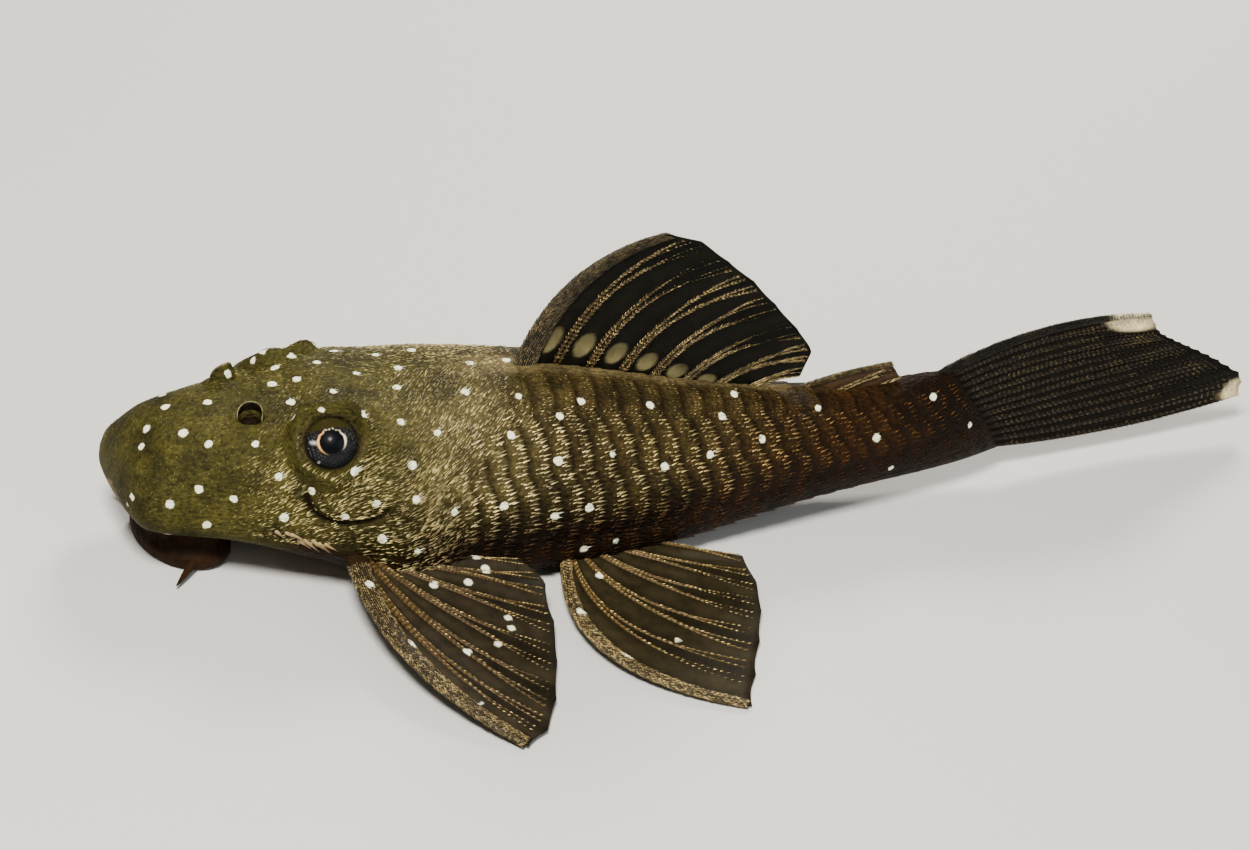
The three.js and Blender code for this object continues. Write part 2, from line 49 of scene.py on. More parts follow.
MM = 0.001
SNOUT_TIP = 3.0
HEAD_END = 25.0
BODY_END = 73.0
BEND_START = 38.0
BEND_RADIUS = 150.0
NECK_FRONT = 17.0
NECK_REAR = 35.0
NECK_RADIUS = 400.0
HEAD_TURN = (NECK_REAR - NECK_FRONT) / NECK_RADIUS
HEAD_SKEW = 0.14
PLATE_PITCH = 1.75
PLATE_ROWS = 5
PLATED = 0.84
ROW_STAGGER = [0.0, 0.14, 0.05, 0.22, 0.4]
ROW_STEP = [0.17, 0.17, 0.15, 0.12, 0.06]
FLOOR_GAP = 0.004
FAR = 9.0

# Places on the skin are a station along the fish and a girth, 0 to 1 from the back, down the
# left side and round
EYE = (16.44, 0.111)
EYE_SINK = 1.05
RIGHT_EYE_DRAWN_IN = 0.4
NOSTRIL = (11.95, 0.038)
RIGHT_NOSTRIL_GIRTH = 0.060
GILL = (17.4, 0.196)
GILL_LONG = 2.65
GILL_TALL = 1.85
GILL_TILT = 0.10
FIN_SHOULDER = (16.9, 0.268)


def profile(stations):
    """A smooth curve through stations (x, value), with no overshoot between them."""
    xs, ys = np.array(stations, float).T
    rise = np.diff(ys) / np.diff(xs)
    before, after = rise[:-1], rise[1:]
    turning = before * after <= 0
    total = np.where(turning, 1, before + after)
    between = np.where(turning, 0, 2 * before * after / total)
    slopes = np.concatenate([rise[:1], between, rise[-1:]])

    def at(x):
        x = np.clip(x, xs[0], xs[-1])
        i = np.clip(np.searchsorted(xs, x, side="right") - 1, 0, len(xs) - 2)
        step = xs[i + 1] - xs[i]
        t = (x - xs[i]) / step
        return (
            ys[i] * (1 + 2 * t) * (1 - t) ** 2
            + step * slopes[i] * t * (1 - t) ** 2
            + ys[i + 1] * t * t * (3 - 2 * t)
            + step * slopes[i + 1] * t * t * (t - 1)
        )

    return at


half_width = profile([
    (3.0, 0), (3.1, 2.7), (3.5, 4.2), (4.1, 5.0), (5.4, 5.4), (7.2, 5.75), (9.5, 6.3),
    (12, 7.2), (14.5, 8.0), (17, 8.65), (19.5, 9.55), (21.5, 10.5), (24, 10.4),
    (28, 9.7), (33, 8.8), (40, 7.5), (50, 5.3), (60, 3.6), (67, 2.6), (70.5, 1.9), (73, 0.9),
])
back_height = profile([
    (3.0, 5.8), (3.3, 7.4), (3.8, 8.45), (4.6, 9.4), (6.3, 10.85), (9, 11.65), (12, 12.0),
    (15, 12.65), (18, 13.4), (22, 13.4), (27, 13.95), (31, 14.1), (34, 14.1), (38, 13.7),
    (46, 12.3), (51.4, 11.4), (56, 10.6), (61, 10.1), (66, 10.2), (70, 10.5), (73, 10.6),
])
belly_height = profile([
    (3.0, 5.0), (3.5, 4.0), (4.4, 3.1), (6, 2.8), (11, 2.6), (16, 1.5), (22, -0.12), (38, -0.12),
    (46, 0.2), (54, 1.1), (62, 1.7), (68, 1.9), (73, 2.3),
])
widest_height = profile([
    (3.0, 5.5), (5, 5.2), (11, 4.95), (17, 4.75), (21, 4.1), (33, 4.0), (45, 4.4), (60, 5.4), (73, 6.4),
])
top_roundness = profile([(3, 2.3), (8, 2.4), (13, 2.6), (18, 2.6), (24, 2.3), (40, 2.0), (73, 1.9)])
belly_roundness = profile([(3, 2.4), (16, 3.0), (25, 4), (40, 3.6), (56, 2.4), (73, 2)])


def smooth(x, low, high):
    t = np.clip((x - low) / (high - low), 0, 1)
    return t * t * (3 - 2 * t)


def hump(distance, reach):
    """1 at the middle, easing to 0 at reach."""
    return 1 - smooth(np.abs(distance), 0, reach)


def one_side(girth):
    """The girth of the same height on the left side."""
    return np.where(girth > 0.5, 1 - girth, girth)


def unit(vectors):
    return vectors / np.maximum(np.linalg.norm(vectors, axis=-1, keepdims=True), 1e-9)


def bent(along, y, start, end, radius):
    """A point beside a line that runs straight to start, along an arc to end, and straight on."""
    angle = (np.clip(along, start, end) - start) / radius
    beyond = np.maximum(along - end, 0) + np.minimum(along - start, 0)
    reach = radius - y
    return (
        start + reach * np.sin(angle) + beyond * np.cos(angle),
        radius - reach * np.cos(angle) + beyond * np.sin(angle),
    )


def curved(along, y, z):
    """Where the fish holds a straight fish's point: head turned to its left, tail to its right."""
    along = along - HEAD_SKEW * y * (1 - smooth(along, 18, 32))
    tail_x, tail_y = bent(along, y, BEND_START, BODY_END, BEND_RADIUS)
    head_x, head_y = bent(-along, -y, -NECK_REAR, -NECK_FRONT, NECK_RADIUS)
    in_head = along < NECK_REAR
    x = np.where(in_head, -head_x, tail_x)
    y = np.where(in_head, -head_y, tail_y)
    return np.stack([x, y, z + 0 * along], -1)


def turned_with_head(vectors):
    """Directions of the straight head, as the turned head holds them."""
    x, y, z = vectors[..., 0], vectors[..., 1], vectors[..., 2]
    c, s = math.cos(HEAD_TURN), math.sin(HEAD_TURN)
    return np.stack([x * c - y * s, x * s + y * c, z], -1)


def across_head(points, near):
    """The same points on the head's other side, further forward, as the skin near them is."""
    middle = curved(np.array(10.0), np.array(0.0), np.array(0.0)) * [1, 1, 0]
    normal = turned_with_head(np.array([0.0, 1.0, 0.0]))
    forward = turned_with_head(np.array([-2 * HEAD_SKEW * abs((near - middle) @ normal), 0.0, 0.0]))
    return points - 2 * ((points - middle) @ normal)[..., None] * normal + forward


def bare_body(x, girth):
    """The body with nothing raised on it but the brows."""
    side = one_side(girth)
    brow = 0.55 * hump(np.hypot((x - 15.7) / 4.6, (side - 0.098) / 0.06), 1)
    c, s = np.cos(2 * np.pi * girth), np.sin(2 * np.pi * girth)
    widest = widest_height(x)
    power = 2 / np.where(c >= 0, top_roundness(x), belly_roundness(x))
    half = np.where(c >= 0, back_height(x) - widest, widest - belly_height(x))
    y = -np.sign(s) * (half_width(x) + brow) * np.abs(s) ** power
    z = widest + np.sign(c) * (half + np.where(c >= 0, brow, 0)) * np.abs(c) ** power
    lean = 0.75 * (6.4 - z) * smooth(x, 56, BODY_END)
    return curved(x + lean, y, z)


def body_axes(x, girth):
    """Place, rearward, upward and outward directions of the bare body."""
    x = np.clip(np.asarray(x, float), SNOUT_TIP + 0.05, BODY_END)
    girth = np.asarray(girth, float)
    rear = unit(bare_body(x + 0.1, girth) - bare_body(np.maximum(x - 0.1, SNOUT_TIP + 0.02), girth))
    down = unit(bare_body(x, girth + 0.003) - bare_body(x, girth - 0.003))
    out = unit(np.cross(down, rear))
    return bare_body(x, girth), rear, unit(np.cross(out, rear)), out


def near(x, girth, x0, girth0):
    """Millimetres along, up and straight from a place on the skin or from its mirror."""
    here, rear, up, _ = body_axes(np.array(x0), np.array(girth0))
    gap = bare_body(x, one_side(girth)) - here
    return gap @ rear, gap @ up, np.linalg.norm(gap, axis=-1)


def near_nostril(x, girth):
    """The same from the left nostril, or from the right one, which lies further out."""
    left, right = near(x, girth, *NOSTRIL), near(x, girth, NOSTRIL[0], RIGHT_NOSTRIL_GIRTH)
    return [np.where(girth > 0.5, b, a) for a, b in zip(left, right)]


def nostril_pit(x, girth):
    """Distance from the nostril's middle, 1 at its rim, and millimetres behind it."""
    along, above, _ = near_nostril(x, girth)
    return np.hypot(along / 1.05, above / 0.85), along


def gill_cover(x, girth):
    """Distance from the cover's middle, 1 at its rim, and how open the groove below it is."""
    along, above, _ = near(x, girth, *GILL)
    plate = np.hypot(along / GILL_LONG, (above - GILL_TILT * along) / GILL_TALL)
    return plate, hump(plate - 1.14, 0.19) * smooth(-above - GILL_TILT * along, -0.3, 0.9)


def eye_frame():
    """The left eyeball's middle, and the directions rearward, upward and outward that it faces by."""
    place, rear, _, _ = body_axes(np.array(EYE[0]), np.array(EYE[1]))
    facing = turned_with_head(unit(np.array([-0.20, -0.72, 0.66])))
    rear = unit(rear - facing * (rear @ facing))
    return place - facing * EYE_SINK, rear, unit(np.cross(facing, rear)), facing


def column_slant(x, down):
    """How far back a column of plates leans, from the middle of the flank."""
    return 2.4 * smooth(x, 21, 29) * (1 - smooth(x, 64, 71)) * (smooth(down, 0.05, 0.5) - 0.5)


def edge_shift(number, across):
    """How many plates a rear edge lies ahead: the rows are staggered and the edges bowed."""
    return np.choose(number.astype(int), ROW_STAGGER) - 0.24 * (1 - (2 * across - 1) ** 2)


def plate_phase(x, girth):
    """Row number, shares across the row and along the plate, and whether plates reach here."""
    down = 2 * one_side(girth)
    row = np.clip(down / PLATED * PLATE_ROWS, 0, 4.999)
    number = np.floor(row)
    across = row - number
    along = (x - column_slant(x, down) - HEAD_END) / PLATE_PITCH + edge_shift(number, across)
    return number, across, along - np.floor(along), down <= PLATED


def plated_share(x, side):
    """The plates' edges show from the shoulder back, sooner low on the flank than on the nape."""
    low = smooth(side, 0.06, 0.18)
    return smooth(x, 26 - 2 * low, 36 - 7 * low)


def plate_relief(x, girth):
    """Each plate rises to its rear edge and drops to the next, with a seam between the rows."""
    number, across, phase, plated = plate_phase(x, girth)
    on_body = plated_share(x, one_side(girth)) * (1 - smooth(x, 69.5, 72.0)) * plated
    lapped = phase ** 1.2 * (1 - smooth(phase, 0.90, 1.0))
    seam = np.minimum(across, 1 - across)
    step = np.choose(number.astype(int), ROW_STEP) * (1 - 0.5 * smooth(x, 50, 64))
    raised = step * lapped * (0.55 + 0.45 * smooth(seam, 0, 0.3))
    return (raised - 0.04 * (1 - smooth(seam, 0, 0.08))) * on_body


def eye_relief(x, girth):
    """The skin round the eye turns to face with it, swells to a rim and dips under the ball."""
    place, _, _, out = body_axes(x, one_side(girth))
    centre, _, _, facing = eye_frame()
    gap = place - centre
    height = gap @ facing
    away = np.where(height > 0, np.linalg.norm(gap - height[..., None] * facing, axis=-1), FAR)
    lid = EYE_SINK + 0.20 * hump(away - 2.5, 0.75) - 0.40 * (1 - smooth(away, 1.85, 2.35))
    share = (1 - smooth(away, 2.4, 3.6)) / np.clip(out @ facing, 0.6, 1)
    raised = (lid - RIGHT_EYE_DRAWN_IN * (girth > 0.5) - height) * share
    return raised - 0.8 * (1 - smooth(away, 1.50, 1.84))


def relief(x, girth):
    """How far the skin stands out from the bare body."""
    raised = plate_relief(x, girth) + eye_relief(x, girth)
    pit, behind = nostril_pit(x, girth)
    raised = raised - 0.85 * (1 - smooth(pit, 0.5, 0.95)) + 0.20 * hump(pit - 1.15, 0.4) * (behind < 0.2)
    plate, groove = gill_cover(x, girth)
    raised = raised + 0.28 * (1 - smooth(plate, 0.60, 1.0)) - 0.42 * groove
    along, above, _ = near(x, girth, *FIN_SHOULDER)
    swelling = hump(np.hypot(along / 1.8, above / 0.9), 1)
    side = one_side(girth)
    ridge = hump(side - 0.047 - 0.0008 * (x - 14), 0.022) * smooth(x, 18, 21) * (1 - smooth(x, 26, 31))
    crest = hump(side, 0.02) * smooth(x, 19, 23) * (1 - smooth(x, 30, 32))
    adipose_foot = hump(side, 0.016) * smooth(x, 52.5, 55) * (1 - smooth(x, 58.5, 60))
    return raised + 0.35 * swelling + 0.10 * ridge + 0.08 * crest + 0.30 * adipose_foot


def on_skin(x, girth):
    place, _, _, out = body_axes(x, girth)
    return place + out * relief(x, girth)[..., None]


# The frame's head gives where the fish's own millimetres begin
snout_ring = bare_body(np.full(40, SNOUT_TIP + 0.06), np.arange(40) / 40)
TO_ROW = np.array([
    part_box("head")[0][0] - snout_ring[:, 0].min() * MM,
    (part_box("pelvic_fin_left")[0][1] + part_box("pelvic_fin_right")[1][1]) / 2, 0,
])


def in_row(points):
    return np.asarray(points) * MM + TO_ROW


def put(mesh, name, values, kind="FLOAT"):
    """Stores one value or colour for each point, for a material to read."""
    layer = mesh.attributes.get(name) or mesh.attributes.new(name, kind, "POINT")
    if kind == "FLOAT":
        layer.data.foreach_set("value", np.asarray(values, np.float32).ravel())
    else:
        full = np.ones((len(mesh.vertices), 4), np.float32)
        full[:, :3] = values
        layer.data.foreach_set("color", full.ravel())


def read(mesh, name):
    values = np.empty(len(mesh.vertices), np.float32)
    mesh.attributes[name].data.foreach_get("value", values)
    return values.astype(float)


def laid(name, across, along, place, weld=0.002):
    """A closed or open sheet: an even grid whose points are placed by their two shares, 0 to 1."""
    shape = bmesh.new()
    bmesh.ops.create_grid(shape, x_segments=across, y_segments=along, size=0.5)
    mesh = bpy.data.meshes.new(name)
    shape.to_mesh(mesh)
    flat = np.empty(len(mesh.vertices) * 3, np.float32)
    mesh.vertices.foreach_get("co", flat)
    shares = np.clip(flat.reshape(-1, 3)[:, :2].astype(float) + 0.5, 0, 1)
    points = in_row(place(shares[:, 0], shares[:, 1]))
    mesh.vertices.foreach_set("co", points.astype(np.float32).ravel())
    put(mesh, "across", shares[:, 0])
    put(mesh, "along", shares[:, 1])
    shape.clear()
    shape.from_mesh(mesh)
    bmesh.ops.remove_doubles(shape, verts=shape.verts, dist=weld * MM)
    bmesh.ops.recalc_face_normals(shape, faces=shape.faces)
    shape.to_mesh(mesh)
    shape.free()
    mesh.shade_smooth()
    return mesh


def shown(mesh, material):
    piece = bpy.data.objects.new(mesh.name, mesh)
    bpy.context.scene.collection.objects.link(piece)
    mesh.materials.append(material)
    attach(piece, "root")
    return piece


def spaced(low, high, density):
    """Shares spread over low to high, closer together where density is greater."""
    line = np.linspace(low, high, 4000)
    weight = np.cumsum(density(line))
    weight = (weight - weight[0]) / (weight[-1] - weight[0])
    return lambda share: np.interp(share, weight, line)


def station_density(x):
    """Rings crowd on the snout and round the eyes and gill covers."""
    return 1 + 0.5 * (x < 14) + 1.7 * smooth(x, 13.0, 14.0) * (1 - smooth(x, 19.8, 21.0))


def girth_density(girth):
    """Lines crowd at the height of the eyes and thin out under the belly."""
    eyes = hump(girth - 0.110, 0.06) + hump(girth - 0.890, 0.06)
    return 1 + 1.1 * eyes - 0.5 * (1 - smooth(np.abs(girth - 0.5), 0.1, 0.17))


SKIN_LINES = 250
SKIN_RINGS = 372
CLOSING = 0.012

station_at = spaced(SNOUT_TIP + 0.06, BODY_END, station_density)
girth_at = spaced(0, 1, girth_density)


def open_share(along):
    """Share of the way between the rings where the skin's two ends begin to close."""
    return np.clip((along - CLOSING) / (1 - 2 * CLOSING), 0, 1)


def skin_place(across, along):
    """The snout's tip and the tail's root close over with a few shrinking rings."""
    girth = girth_at(across)
    place = on_skin(station_at(open_share(along)), girth)
    for end, ring in ((np.clip(along / CLOSING, 0, 1), 0.0), (np.clip((1 - along) / CLOSING, 0, 1), 1.0)):
        closing = end < 1
        if closing.any():
            rim = on_skin(np.full(closing.sum(), station_at(ring)), girth[closing])
            middle = on_skin(np.full(64, station_at(ring)), np.linspace(0, 1, 64, endpoint=False)).mean(0)
            place[closing] = middle + (rim - middle) * end[closing][:, None]
    place[:, 2] = np.maximum(place[:, 2], FLOOR_GAP)
    return place


# White spots on the left side and the top of the head, as stations and girths
SPOTS_LEFT = [
    (6.9, .983), (9.7, .999), (5.2, .005), (4.5, .035), (7.1, .058), (8.5, .094), (11.6, .096),
    (3.6, .805), (3.2, .26), (3.3, .190), (5.4, .211), (7.4, .185), (9.7, .205), (8.0, .249),
    (12.7, .161), (13.0, .229), (14.8, .185), (17.1, .222), (19.2, .195), (17.8, .156),
    (22.2, .132), (22.2, .178), (25.7, .198), (19.7, .237), (24.9, .095), (22.2, .071),
    (19.1, .076), (16.5, .066), (18.2, .019), (14.6, .065), (15.1, .022), (16.4, .995),
    (14.7, .991), (15.7, .957), (14.6, .934), (17.3, .943), (18.6, .971), (20.6, .943),
    (20.8, .997), (23.2, .959), (24.0, .993), (23.1, .019), (25.8, .955), (29.2, .998),
    (28.0, .046), (15.4, .936), (7.5, .921), (22.4, .242), (5.7, .353), (30.3, .200), (34.6, .220),
    (37.4, .215), (31.0, .114), (34.7, .152), (39.1, .147), (43.3, .171), (35.1, .094),
    (32.1, .061), (32.1, .993), (37.0, .072), (42.5, .074), (37.4, .271), (39.9, .266),
    (48.4, .093), (47.1, .160), (51.6, .142), (49.9, .042), (57.0, .077), (69.4, .118),
    (62.1, .186), (71.3, .255), (63.2, .305),
]


def all_spots():
    """Places and radii. The right side isn't in view: it gets the left's spots, moved a little."""
    draw = np.random.default_rng(11)
    spots = list(SPOTS_LEFT)
    for x, girth in SPOTS_LEFT:
        moved = draw.uniform(-1, 1, 2)
        if 0.09 < girth < 0.32:
            spots.append((x + 0.9 * moved[0] + 0.4, 1 - girth - 0.012 * moved[1]))
    x, girth = np.array(spots).T
    return on_skin(np.clip(x, SNOUT_TIP + 0.1, BODY_END), girth), draw.uniform(0.26, 0.37, len(x))


body_spots = all_spots()


def spot_share(points, places, radii):
    """Distance from the nearest spot's middle, in that spot's radii."""
    nearest = np.full(len(points), FAR)
    for place, radius in zip(places, radii):
        nearest = np.minimum(nearest, np.linalg.norm(points - place, axis=-1) / radius)
    return nearest


def mix(first, second, share):
    first = np.asarray(first)
    return first + (np.asarray(second) - first) * np.asarray(share)[..., None]


def layered(colour, *layers):
    """A colour with others laid over it in turn, each by its own share."""
    for over, share in layers:
        colour = mix(colour, over, share)
    return colour


OLIVE_HEAD = np.array([0.036, 0.0310, 0.0062])
SHOULDER = (0.074, 0.058, 0.020)
NAPE = (0.085, 0.064, 0.026)
FLANK = (0.031, 0.021, 0.0060)
# Red-brown darkened with painted shade low on the flank
LOW_FLANK_SHADE = (0.0045, 0.0018, 0.0004)
# Painted shade under the cheeks' lower edge
CHEEK_UNDERSIDE_SHADE = (0.0100, 0.0042, 0.0010)
ORBIT_RIM = (0.050, 0.040, 0.016)
TAIL_STALK = (0.0170, 0.0068, 0.0012)
TAIL_END = (0.0060, 0.0026, 0.0006)
# Painted shade under the tail stalk
TAIL_UNDERSIDE_SHADE = (0.0080, 0.0028, 0.0005)
BELLY = (0.115, 0.080, 0.045)


def body_tint(x, girth):
    """Olive head, paler nape and shoulder, brown flank, nearly black at the tail, and redder below, with
    painted shade darkening the lower flank, the cheeks' underside and the tail stalk's underside.
    """
    side = one_side(girth)
    from_eye = np.hypot(x - EYE[0], 60 * (side - EYE[1]))
    return layered(
        OLIVE_HEAD,
        (FLANK, smooth(x, 22, 38)),
        (SHOULDER, 0.8 * hump(x - 28, 9) * smooth(side, 0.02, 0.07) * (1 - smooth(side, 0.17, 0.23))),
        (NAPE, (1 - smooth(side, 0.012, 0.03)) * smooth(x, 25, 32)),
        # Painted shade low on the flank
        (LOW_FLANK_SHADE, smooth(side, 0.18, 0.25) * smooth(x, 13, 24)),
        # Painted shade under the cheeks
        (CHEEK_UNDERSIDE_SHADE, smooth(side, 0.245, 0.270) * smooth(x, 11, 16)),
        (TAIL_STALK, smooth(x + 30 * side, 46, 64)),
        (TAIL_END, smooth(x, 62, 70)),
        (ORBIT_RIM, 0.8 * hump(from_eye - 2.0, 0.6)),
        # Painted shade under the tail stalk
        (TAIL_UNDERSIDE_SHADE, smooth(side, 0.20, 0.27) * smooth(x, 42, 54)),
        (BELLY, smooth(side, 0.36, 0.42) * (1 - smooth(x, 44, 54))),
    )


def mark(mesh, x, girth, points):
    """Stores the skin's tint, its white spots, and how much painted shade darkens each hollow."""
    _, _, phase, plated = plate_phase(x, girth)
    side = one_side(girth)
    behind_edge = np.maximum(1 - smooth(phase, 0.05, 0.40), smooth(phase, 0.95, 1.0))
    # Painted shade behind each plate's rear edge, in the groove under the gill cover, in the nostril pit and
    # in the groove round the eye
    hollow_shades = [
        behind_edge * plated_share(x, side) * plated * smooth(side, 0.0, 0.05),
        1.3 * gill_cover(x, girth)[1],
        1.5 * (1 - smooth(nostril_pit(x, girth)[0], 0.55, 0.95)),
        1.2 * (1 - smooth(near(x, girth, *EYE)[2], 1.9, 2.15)),
    ]
    put(mesh, "tint", body_tint(x, girth), "FLOAT_COLOR")
    put(mesh, "spot", spot_share(points, *body_spots))
    put(mesh, "hollow_shade", np.clip(np.max(hollow_shades, axis=0), 0, 1.5))


def node(tree, kind, **inputs):
    """One shader node, with its input sockets set to numbers or joined to other sockets."""
    made = tree.nodes.new(kind)
    for key, value in inputs.items():
        if hasattr(made, key) and key not in made.inputs:
            setattr(made, key, value)
            continue
        numbered = key[0] == "i" and key[1:].isdigit()
        socket = made.inputs[int(key[1:])] if numbered else made.inputs[key.replace("_", " ")]
        if isinstance(value, bpy.types.NodeSocket):
            tree.links.new(value, socket)
        else:
            socket.default_value = value
    return made


def surface(name, roughness, specular, coat=0.0, coat_roughness=0.18):
    """A new material's node tree and main shader."""
    material = bpy.data.materials.new(name)
    material.use_nodes = True
    shader = material.node_tree.nodes["Principled BSDF"]
    shader.inputs["Roughness"].default_value = roughness
    shader.inputs["Specular IOR Level"].default_value = specular
    shader.inputs["Coat Weight"].default_value = coat
    shader.inputs["Coat Roughness"].default_value = coat_roughness
    return material, material.node_tree, shader


def stored(tree, name, output="Fac"):
    return node(tree, "ShaderNodeAttribute", attribute_name=name).outputs[output]


def own_place(tree):
    return node(tree, "ShaderNodeTexCoord").outputs["Object"]


def noise(tree, scale, detail=3.0, roughness=0.55, place=None):
    place = own_place(tree) if place is None else place
    made = node(tree, "ShaderNodeTexNoise", Vector=place, Scale=scale, Detail=detail, Roughness=roughness)
    return made.outputs["Fac"]


def cells(tree, scale, place):
    """Distance from the middle of the nearest of many small cells."""
    return node(tree, "ShaderNodeTexVoronoi", Vector=place, Scale=scale).outputs["Distance"]


def combined(tree, operation, first, second):
    return node(tree, "ShaderNodeMath", operation=operation, i0=first, i1=second).outputs[0]


def ranged(tree, value, low, high, to_low, to_high):
    made = node(
        tree, "ShaderNodeMapRange", Value=value, From_Min=low, From_Max=high, To_Min=to_low, To_Max=to_high,
    )
    return made.outputs["Result"]


def blended(tree, share, first, second, kind="MIX"):
    made = node(tree, "ShaderNodeMix", data_type="RGBA", blend_type=kind, i0=share, i6=first, i7=second)
    return made.outputs[2]


def shaded(tree, colour, value):
    """A colour times one value."""
    grey = node(tree, "ShaderNodeCombineXYZ", X=value, Y=value, Z=value).outputs[0]
    return blended(tree, 1.0, colour, grey, "MULTIPLY")


def painted(tree, shader, colour):
    tree.links.new(colour, shader.inputs["Base Color"])


def bumped(tree, shader, strength, distance, height, inward=False):
    bump = node(tree, "ShaderNodeBump", Strength=strength, Distance=distance, Height=height)
    bump.invert = inward
    tree.links.new(bump.outputs["Normal"], shader.inputs["Normal"])


WHITE_SPOT = (0.95, 0.95, 0.70, 1)
SKIN_GRAIN = 4200.0


def skin_colour(tree, shader):
    """Mottled olive and brown, with painted shade darkening the plates' hollows and the skin's other
    hollows, and crisp white spots.
    """
    patches = ranged(tree, noise(tree, 420, 4.0, 0.6), 0.32, 0.68, 0.50, 1.50)
    grains = ranged(tree, noise(tree, 3400, 2.0, 0.6), 0.3, 0.7, 0.50, 1.55)
    colour = shaded(tree, stored(tree, "tint", "Color"), combined(tree, "MULTIPLY", patches, grains))
    # Painted shade takes the hollows towards near black
    hollow_shade = combined(tree, "MULTIPLY", stored(tree, "hollow_shade"), 0.76)
    colour = blended(tree, hollow_shade, colour, (0.006, 0.003, 0.001, 1))
    ragged = ranged(tree, noise(tree, 3200, 2.0), 0.3, 0.7, -0.16, 0.16)
    edge = combined(tree, "ADD", stored(tree, "spot"), ragged)
    painted(tree, shader, blended(tree, ranged(tree, edge, 0.86, 1.10, 1, 0), colour, WHITE_SPOT))


skin_material, tree, shader = surface("wet_olive_skin", 0.62, 0.07)
skin_colour(tree, shader)
drawn_out = node(
    tree, "ShaderNodeMapping", Vector=own_place(tree), Scale=(0.45, 1.0, 1.0), Rotation=(0, 0.35, 0),
).outputs[0]
streaks = noise(tree, SKIN_GRAIN, 3.0, 0.6, drawn_out)
bumped(tree, shader, 0.9, 0.00012, combined(tree, "SUBTRACT", streaks, cells(tree, SKIN_GRAIN, drawn_out)))

skin = laid("skin", SKIN_LINES, SKIN_RINGS, skin_place)
skin_points = np.empty(len(skin.vertices) * 3, np.float32)
skin.vertices.foreach_get("co", skin_points)
skin_points = (skin_points.reshape(-1, 3) - TO_ROW) / MM
mark(skin, station_at(open_share(read(skin, "along"))), girth_at(read(skin, "across")), skin_points)
body = shown(skin, skin_material)
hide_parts("head", "trunk", "tail_stalk")

# Odontodes: tiny hooked teeth of dentine that stud every plate in rows and catch the light.
# They grow from the bone, point to the tail, and are longest along each plate's rear edge.


def spines(name, roots, ahead, outward, lengths, widths, lean, bake, material, stores):
    """Many small tapering spines as one mesh, each a four-sided cone with its root sunk."""
    shape = bmesh.new()
    bmesh.ops.create_cone(shape, cap_ends=False, segments=4, radius1=1.0, radius2=0.0, depth=1.0)
    bmesh.ops.translate(shape, verts=shape.verts, vec=(0, 0, 0.5))
    shape.verts.ensure_lookup_table()
    form = np.array([v.co[:] for v in shape.verts])
    sides = np.array([[v.index for v in f.verts] for f in shape.faces])
    shape.free()
    count, corners = len(roots), len(form)
    across = unit(np.cross(outward, ahead))
    leaning = unit(ahead * (1 - lean) + outward * lean)
    points = (
        (roots - outward * 0.05)[:, None, :]
        + form[None, :, 0, None] * (widths[:, None] * across)[:, None, :]
        + form[None, :, 1, None] * (widths[:, None] * unit(np.cross(leaning, across)))[:, None, :]
        + form[None, :, 2, None] * (lengths[:, None] * leaning)[:, None, :]
    )
    points[..., 2] = np.maximum(points[..., 2], FLOOR_GAP)
    faces = (np.arange(count)[:, None, None] * corners + sides[None]).reshape(-1, sides.shape[1])
    mesh = bpy.data.meshes.new(name)
    mesh.from_pydata(in_row(points.reshape(-1, 3)).tolist(), [], faces.tolist())
    mesh.shade_smooth()
    for key, (values, kind) in stores.items():
        put(mesh, key, np.repeat(values, corners, axis=0), kind)
    patch = np.repeat(bake, corners, axis=0) + np.tile(form[:, :2] * 0.0015, (count, 1))
    corner = np.empty(len(mesh.loops), np.int32)
    mesh.loops.foreach_get("vertex_index", corner)
    sheet = mesh.uv_layers.new(name="OFBake")
    sheet.data.foreach_set("uv", np.clip(patch[corner], 0, 1).astype(np.float32).ravel())
    return shown(mesh, material)


def dentine_stores(tint, spot):
    return {
        "tint": (tint, "FLOAT_COLOR"),
        "spot": (spot, "FLOAT"),
        "hollow_shade": (np.zeros(len(spot)), "FLOAT"),
    }


odontode_material, tree, shader = surface("odontode_dentine", 0.36, 0.28)
skin_colour(tree, shader)

BAKE_LENGTH = 75.0

draw = np.random.default_rng(5)


def clear_of_parts(x, girth):
    """Where odontodes may grow: not on the eye, nostril, dorsal fin's base or round the mouth."""
    side = one_side(girth)
    fin_base = (side < 0.026) & (x > 32) & (x < 52)
    shoulder = np.hypot((x - FIN_SHOULDER[0]) / 1.6, (side - FIN_SHOULDER[1]) / 0.016) < 1
    clear = ~fin_base & ~shoulder & (gill_cover(x, girth)[1] < 0.4) & (side < 0.40)
    return clear & (near(x, girth, *EYE)[2] > 2.35) & (near_nostril(x, girth)[2] > 1.15)


def odontode_tint(x, girth):
    """Pale gold dentine, duller on the head and dimmer and redder towards the tail's underside, and darkened
    with painted shade low on the flank.
    """
    side = one_side(girth)
    cheek = smooth(side, 0.10, 0.15) * smooth(x, 9, 14)
    rearward = x + 40 * (side - 0.1)
    colour = layered(
        (0.172, 0.145, 0.050),
        ((0.34, 0.275, 0.110), np.maximum(cheek, 0.6 * smooth(x, 19, 27))),
        ((0.62, 0.50, 0.24), hump(x - 32, 10) * smooth(side, 0.05, 0.09)),
        ((0.30, 0.200, 0.070), smooth(rearward, 42, 56)),
        ((0.130, 0.054, 0.010), smooth(rearward, 52, 66)),
        # Painted shade on the odontodes low on the flank
        ((0.030, 0.012, 0.002), smooth(side, 0.195, 0.250) * smooth(x, 20, 28)),
    )
    return colour * (draw.uniform(0.30, 1.55, len(x)) ** 1.6)[:, None]


